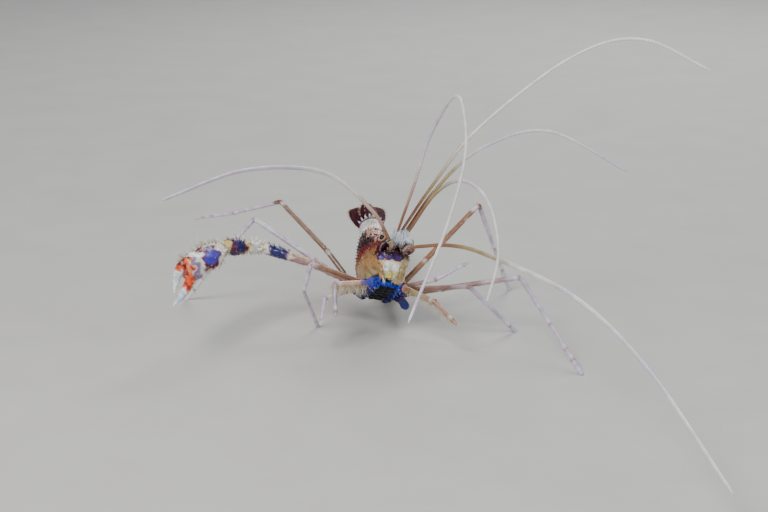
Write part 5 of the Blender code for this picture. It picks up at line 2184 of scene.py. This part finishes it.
    def _wrist(self, name: str, joints: list[Array], hairs: Skin) -> None:
        """Make the wrist, pale and thorny at its root and dark blue at its end.

        Args:
            name: the claw's name.
            joints: the claw's joints.
            hairs: the skin that takes its bristles.
        """
        start, end = joints[2], joints[3]
        run = unit(end - start)
        share, radius = smooth_route(self.wrist_outline, 90).T
        line = start + (end - start) * (0.015 + 0.97 * share)[:, None]
        wrist = self._tube(line, radius, self.wrist_around)
        rows, normals = wrist.rows, wrist.normals
        along = share[:, None] + 0.04 * wander(rows, 1.2, 330)
        facing = normals @ unit(np.array([0.05, -0.9, 0.42]))
        wrist.tint = layered(
            CREAM,
            (WHITE, window(along, 0.09, 0.4, 0.03)),
            (ICE * 0.7, hump(along, 0.25, 0.1) * ramp(facing, 0.5, 0.95) * 0.9),
            (CRIMSON * 0.4, window(along, 0.49, 0.94, 0.02)),
            (NAVY, hump(along, 0.71, 0.15) * ramp(facing + 0.15 * wander(rows, 0.8, 332), 0.0, 0.35)),
            (BLUE, hump(along, 0.72, 0.1) * ramp(facing, 0.7, 1.0) * 0.5),
            (CREAM, ramp(along, 0.94, 0.97)),
        )
        skin = Skin()
        skin.loft(rows, wrist.tint)
        dice = default_rng(334)
        row = np.tile(np.arange(6, 84, 8), 6) + dice.integers(-2, 3, 60)
        column = np.repeat(np.arange(0, 36, 6), 10) + dice.integers(0, 5, 60)
        size = (0.6 + 0.6 * np.clip(normals[row, column, 2], 0, 1)) * dice.uniform(0.8, 1.2, 60)
        pale = share[row] < 0.46
        wrist.thorns(skin, row, column, normals[row, column] + run * np.where(pale, -0.1, 0.3)[:, None],
                     size * np.where(pale, 1.25, 0.8), np.where(pale, 0.3, 0.14),
                     blend(wrist.tint[row, column], WHITE, np.where(pale, 0.95, 0.08)), bows=run * 0.15)
        skin.piece(f"{name}_wrist_shell", CLAW, (f"{name}_wrist",))
        self._scatter(hairs, wrist, (0.05, 0.97), 70, (0.9, 1.7), dice)

    def _hand(self, name: str, plan: ClawPlan, joints: list[Array], hairs: Skin) -> None:
        """Make the flat palm with its fixed finger, and the moving finger.

        Args:
            name: the claw's name.
            plan: the claw's plan.
            joints: the claw's joints.
            hairs: the skin that takes its bristles.
        """
        start, end = joints[3], joints[4]
        fixed = plan.fixed_hand
        run = unit(end - start)
        flat = rotated(level_side_of(np.array([start, end])), run, plan.lean)
        flat = unit(flat - run * (flat @ run))
        share, wide = smooth_route(self.palm_outline, 110).T
        line = start + (end - start) * (0.01 + 0.99 * share)[:, None]
        rows = ovals(line, flat, np.cross(run, flat), wide, wide * self.palm_thickness, self.palm_around)
        across = np.sum((rows - line[:, None]) * flat, axis=-1) * fixed / self.palm_half_width
        slant = ramp(share, 0.8, 1.0)[:, None] * across * self.knuckle_slant / 2
        normals = outward(rows)
        rows = rows + run * slant[..., None] + normals * (0.07 * wander(rows, 1.2, 340))[..., None]
        palm = Surface(rows, normals, np.broadcast_to(run, line.shape), self._paint_palm(rows, share, across))
        skin = Skin()
        skin.loft(rows, palm.tint)
        self._palm_thorns(skin, palm)
        fixed_finger = self._finger(skin, joints, flat, fixed, True)
        skin.piece(f"{name}_palm_shell", CLAW, (f"{name}_palm",))
        moving = Skin()
        moving_finger = self._finger(moving, joints, flat, -fixed, False)
        moving.piece(f"{name}_moving_finger_shell", CLAW, (f"{name}_moving_finger",))
        dice = default_rng(345)
        self._scatter(hairs, palm, (0.05, 0.98), 90, (0.8, 1.6), dice)
        self._edge_hairs(hairs, palm, flat, fixed, dice)
        for finger in (fixed_finger, moving_finger):
            self._scatter(hairs, finger, (0.05, 0.8), 36, (0.6, 1.3), dice)

    def _paint_palm(self, rows: Array, share: Array, across: Array) -> Array:
        """Return the palm's colours.

        Args:
            rows: its points.
            share: how far each row lies from the wrist to the fingers.
            across: how far each point lies from the middle towards the fixed finger's edge, up to 1.

        Returns:
            A colour for each point.
        """
        small = wander(rows, 0.9, 350)
        along = share[:, None] + 0.05 * wander(rows, 1.8, 351)
        core = np.sqrt(((along - 0.45 - 0.05 * across) / 0.19) ** 2 + ((across - 0.1) / 0.72) ** 2)
        edge = hump(across, 0.75, 0.16) * window(along, 0.42, 0.72, 0.04)
        crest = np.sqrt(((along - 0.52) / 0.12) ** 2 + ((across + 0.78) / 0.3) ** 2)
        spot = np.sqrt(((along - 0.9) / 0.12) ** 2 + ((across + 0.95) / 0.5) ** 2)
        hot = ramp(along - 0.06 * across, 0.93, 0.97)
        return layered(
            CREAM,
            (WHITE, ramp(along, 0.03, 0.1)),
            (ICE, ramp(small, 0.5, 1.1) * 0.4),
            (CRIMSON * 0.45, np.maximum(1 - ramp(np.minimum(core, crest + 0.2), 1.15, 1.3), edge)),
            (VIOLET, 1 - ramp(core, 0.8, 1.0)),
            (BLUE, (1 - ramp(core, 0.3, 0.7)) * ramp(small, -0.4, 0.5) * 0.8),
            (PLUM, window(along - 0.06 * across, 0.8, 0.93, 0.02) * ramp(across, -0.7, -0.4) * 0.9),
            (CRIMSON * 0.5, 1 - ramp(spot, 0.8, 1.1)),
            (blend(CRIMSON * 0.8, ORANGE, ramp(small, -0.5, 0.1)), hot),
            (AMBER, hot * ramp(small, 0.6, 1.1) * 0.8),
        )

    def _palm_thorns(self, skin: Skin, palm: Surface) -> None:
        """Add the rows of thorns along the palm's edges and over its faces.

        Args:
            skin: the skin that takes them.
            palm: the palm's surface.
        """
        dice = default_rng(355)
        for middle, reach, size in self.palm_thorns:
            row = np.arange(8, 104, 7) + dice.integers(-1, 2, 14)
            column = (middle + dice.integers(-reach, reach + 1, len(row))) % self.palm_around
            stout = 1 - ramp(row, 26, 44)
            lengths = size * dice.uniform(0.8, 1.2, len(row)) * (1 + 0.3 * stout)
            tips = blend(palm.tint[row, column], WHITE, 0.75 + 0.2 * stout)
            palm.thorns(skin, row, column, palm.ways(row, column, 1, 0.4), lengths, 0.15 + 0.12 * stout, tips,
                        bows=palm.tangents[row] * 0.15)

    def _finger(self, skin: Skin, joints: list[Array], flat: Array, hand: int,
                is_fixed: bool) -> Surface:
        """Add one finger, with teeth along its inner edge and thorns along its outer one.

        Args:
            skin: the skin that takes it.
            joints: the claw's joints.
            flat: the direction across the palm.
            hand: the finger's side of the palm, as a sign along that direction.
            is_fixed: whether it is the finger that doesn't move.

        Returns:
            Its surface.
        """
        end, tip = joints[4], joints[5]
        way = unit(tip - end)
        inset = -1.0 if is_fixed else GAP * 1.5 - self.knuckle_slant * 0.25
        root = end + flat * hand * self.finger_splay + way * inset
        last = tip + flat * hand * self.finger_half_width * 0.4
        if not is_fixed:
            last = last - way * np.linalg.norm(tip - end) * (1 - self.moving_share) + flat * hand * 0.6
        middle = (root + last) / 2 + flat * hand * 0.35
        line = smooth_route((root - way * 0.4, middle, last - flat * hand * 0.25), self.finger_steps)
        share = np.linspace(0, 1, self.finger_steps + 1)
        size = (1.02 - 0.8 * share ** 2) * (1 - 0.7 * ramp(share, 0.95, 1.0))
        size = size * (1 - 0.25 * (1 - ramp(share, 0.0, 0.1)))
        side = unit(flat - way * (flat @ way))
        rows = ovals(line, side, np.cross(way, side), self.finger_half_width * size,
                     self.finger_half_thickness * size, self.finger_around)
        rows = roughened(rows, 0.04, 0.9, 360)
        along = share[:, None] + 0.05 * wander(rows, 1.2, 361)
        tint = blend(ORANGE, CRIMSON, ramp(wander(rows, 0.9, 362), 0.0, 0.8) * 0.8)
        if not is_fixed:
            tint = blend(CRIMSON * 0.5, tint, ramp(along, 0.08, 0.22))
        switch = 0.52 if is_fixed else 0.3
        tint = blend(tint, WHITE, ramp(along, switch - 0.05, switch + 0.04))
        tint = blend(tint, ICE, hump(along, switch + 0.25, 0.15) * 0.6)
        skin.loft(rows, tint)
        finger = Surface(rows, outward(rows), np.broadcast_to(way, line.shape), tint)
        half = self.finger_around // 2
        inner, outer = (half, 0) if hand > 0 else (0, half)
        row = np.arange(12, 66, 5)
        finger.thorns(skin, row, inner, -side * hand + way * 0.15, 0.36 - 0.15 * share[row], 0.17, WHITE,
                      sides=8)
        finger.thorns(skin, np.arange(8, 60, 7), outer, side * hand + way * 0.7, 0.55, 0.12, WHITE)
        return finger

    def _scatter(self, hairs: Skin, part: Surface, span: tuple[float, float], count: int,
                 lengths: tuple[float, float], dice: Generator) -> None:
        """Scatter short bristles over a part of a claw.

        Args:
            hairs: the skin that takes them.
            part: the part's surface.
            span: the part of its length that they cover, from 0 to 1.
            count: the number of bristles.
            lengths: the shortest and longest bristle.
            dice: the random generator.
        """
        spots = part.spots(span, count, dice)
        ways = part.ways(*spots[:2], 1, 0.5) + dice.normal(size=(count, 3)) * 0.12
        hairs.hairs(part.rows, spots, ways, dice.uniform(*lengths, count), 0.04, (SAND * 0.5, BONE))

    def _edge_hairs(self, hairs: Skin, palm: Surface, flat: Array, fixed: int,
                    dice: Generator) -> None:
        """Add the long bristles along the palm's outer edges.

        Args:
            hairs: the skin that takes them.
            palm: the palm's surface.
            flat: the direction across the palm.
            fixed: 1 or -1, for the edge with the fixed finger.
            dice: the random generator.
        """
        rings, girth = palm.rows.shape[:2]
        for hand, count, long in ((-fixed, 110, (1.7, 3.0)), (fixed, 50, (1.0, 2.0))):
            share = np.sort(dice.uniform(0.08, 1.0, count))
            row = (share * (rings - 1)).astype(int)
            column = ((0 if hand > 0 else girth // 2) + dice.integers(-4, 5, count)) % girth
            ways = flat * hand + palm.tangents[row] * 0.15 + dice.normal(size=(count, 3)) * 0.16
            hairs.hairs(palm.rows, (row, column, share), ways, dice.uniform(*long, count), 0.055,
                        (SAND * 0.4, BONE))


# ---- Studio ----

@dataclass
class Studio:
    """A pale floor, soft lights and the camera.

    Distances of the camera are in millimetres, all others in metres.  A light is its name, place, size, power
    and colour.
    """

    floor_size: float = 4.0
    floor_greys: tuple = ((0.50, 0.495, 0.485, 1), (0.58, 0.575, 0.565, 1))
    sky: tuple[float, float, float, float] = (0.92, 0.96, 1.0, 1.0)
    sky_strength: float = 0.22
    lights: tuple = (
        ("key", (-0.22, -0.34, 0.42), 0.22, 3.4, (1.0, 0.98, 0.95)),
        ("fill", (0.4, -0.25, 0.28), 0.3, 0.9, (0.93, 0.96, 1.0)),
        ("back", (0.12, 0.45, 0.35), 0.25, 1.6, (1.0, 1.0, 1.0)),
    )
    aim_height: float = 0.02
    lens: float = 92.6
    elevation: float = 16.0
    distance: float = 415.0
    aside: float = 0.84
    above: float = 6.51

    def build(self) -> None:
        """Make the floor, the lights and the camera."""
        self._floor()
        world = bpy.data.worlds.new("studio")
        bpy.context.scene.world = world
        world.use_nodes = True
        background = world.node_tree.nodes["Background"]
        background.inputs["Color"].default_value = self.sky
        background.inputs["Strength"].default_value = self.sky_strength
        for light in self.lights:
            self._light(*light)
        self._camera()

    def _floor(self) -> None:
        """Make the floor with a faint stony grain."""
        half = self.floor_size / 2
        mesh = bpy.data.meshes.new("floor")
        corners = [(-half, -half, 0), (half, -half, 0), (half, half, 0), (-half, half, 0)]
        mesh.from_pydata(corners, [], [(0, 1, 2, 3)])
        graph = NodeGraph("floor")
        grain = graph.add("ShaderNodeTexNoise", "Fac", {"Scale": 60, "Vector": graph.where})
        graph.fill(graph.shader, {"Base Color": graph.mix(grain, *self.floor_greys), "Roughness": 0.85})
        mesh.materials.append(graph.material)
        floor = bpy.data.objects.new("floor", mesh)
        bpy.context.scene.collection.objects.link(floor)

    def _light(self, name: str, place: tuple[float, float, float], size: float, power: float,
               colour: tuple[float, float, float]) -> None:
        """Make one soft light aimed at the shrimp.

        Args:
            name: the light's name.
            place: where it stands.
            size: the length of its sides.
            power: its power.
            colour: its colour.
        """
        data = bpy.data.lights.new(name, "AREA")
        data.size = size
        data.energy = power
        data.color = colour
        lamp = bpy.data.objects.new(name, data)
        lamp.location = place
        aim = np.array(place) - np.array([0.0, 0.0, self.aim_height])
        lamp.rotation_euler = (math.atan2(math.hypot(aim[0], aim[1]), aim[2]), 0, math.atan2(aim[0], -aim[1]))
        bpy.context.scene.collection.objects.link(lamp)

    def _camera(self) -> None:
        """Make the camera, which looks along +Y and a little down."""
        tilt = math.radians(self.elevation)
        forward = np.array([0, math.cos(tilt), -math.sin(tilt)])
        above = np.array([0, math.sin(tilt), math.cos(tilt)])
        place = HIPS + np.array([self.aside, 0, 0]) + above * self.above - forward * self.distance
        data = bpy.data.cameras.new("camera")
        data.lens = self.lens
        data.sensor_width = 36.0
        data.clip_start = 0.01
        camera = bpy.data.objects.new("camera", data)
        camera.location = (place + Skin.shift) * MM
        camera.rotation_euler = (math.radians(90 - self.elevation), 0, 0)
        bpy.context.scene.collection.objects.link(camera)
        bpy.context.scene.camera = camera


def settle_shift() -> Array:
    """Return how far the frame's shrimp lies from these shapes, read from its keel."""
    low = np.array(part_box("sternum")[0]) / MM
    return low - LegBases().keel_rings(14).reshape(-1, 3).min(axis=0)


def main() -> None:
    """Build the shrimp on its frame, then the studio."""
    logging.basicConfig(level=logging.INFO, format="%(message)s")
    for item in list(bpy.data.objects):
        bpy.data.objects.remove(item, do_unlink=True)
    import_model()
    Skin.shift = settle_shift()
    log.info("shift: %s", Skin.shift.round(3))
    Carapace().build()
    head = Skin()
    Face().build(head)
    LegBases().build()
    abdomen = Abdomen()
    abdomen.build()
    TailFan().build(abdomen)
    Eyes().build()
    AntennalScales().build(head)
    Feelers().build(head)
    head.piece("head_bristles", BRISTLE)
    legs = Skin()
    SlenderLimbs().build(legs)
    legs.piece("limb_bristles", BRISTLE)
    claws = Skin()
    GreatClaws().build(claws)
    claws.piece("claw_bristles", BRISTLE)
    Studio().build()


if __name__ == "__main__":
    main()
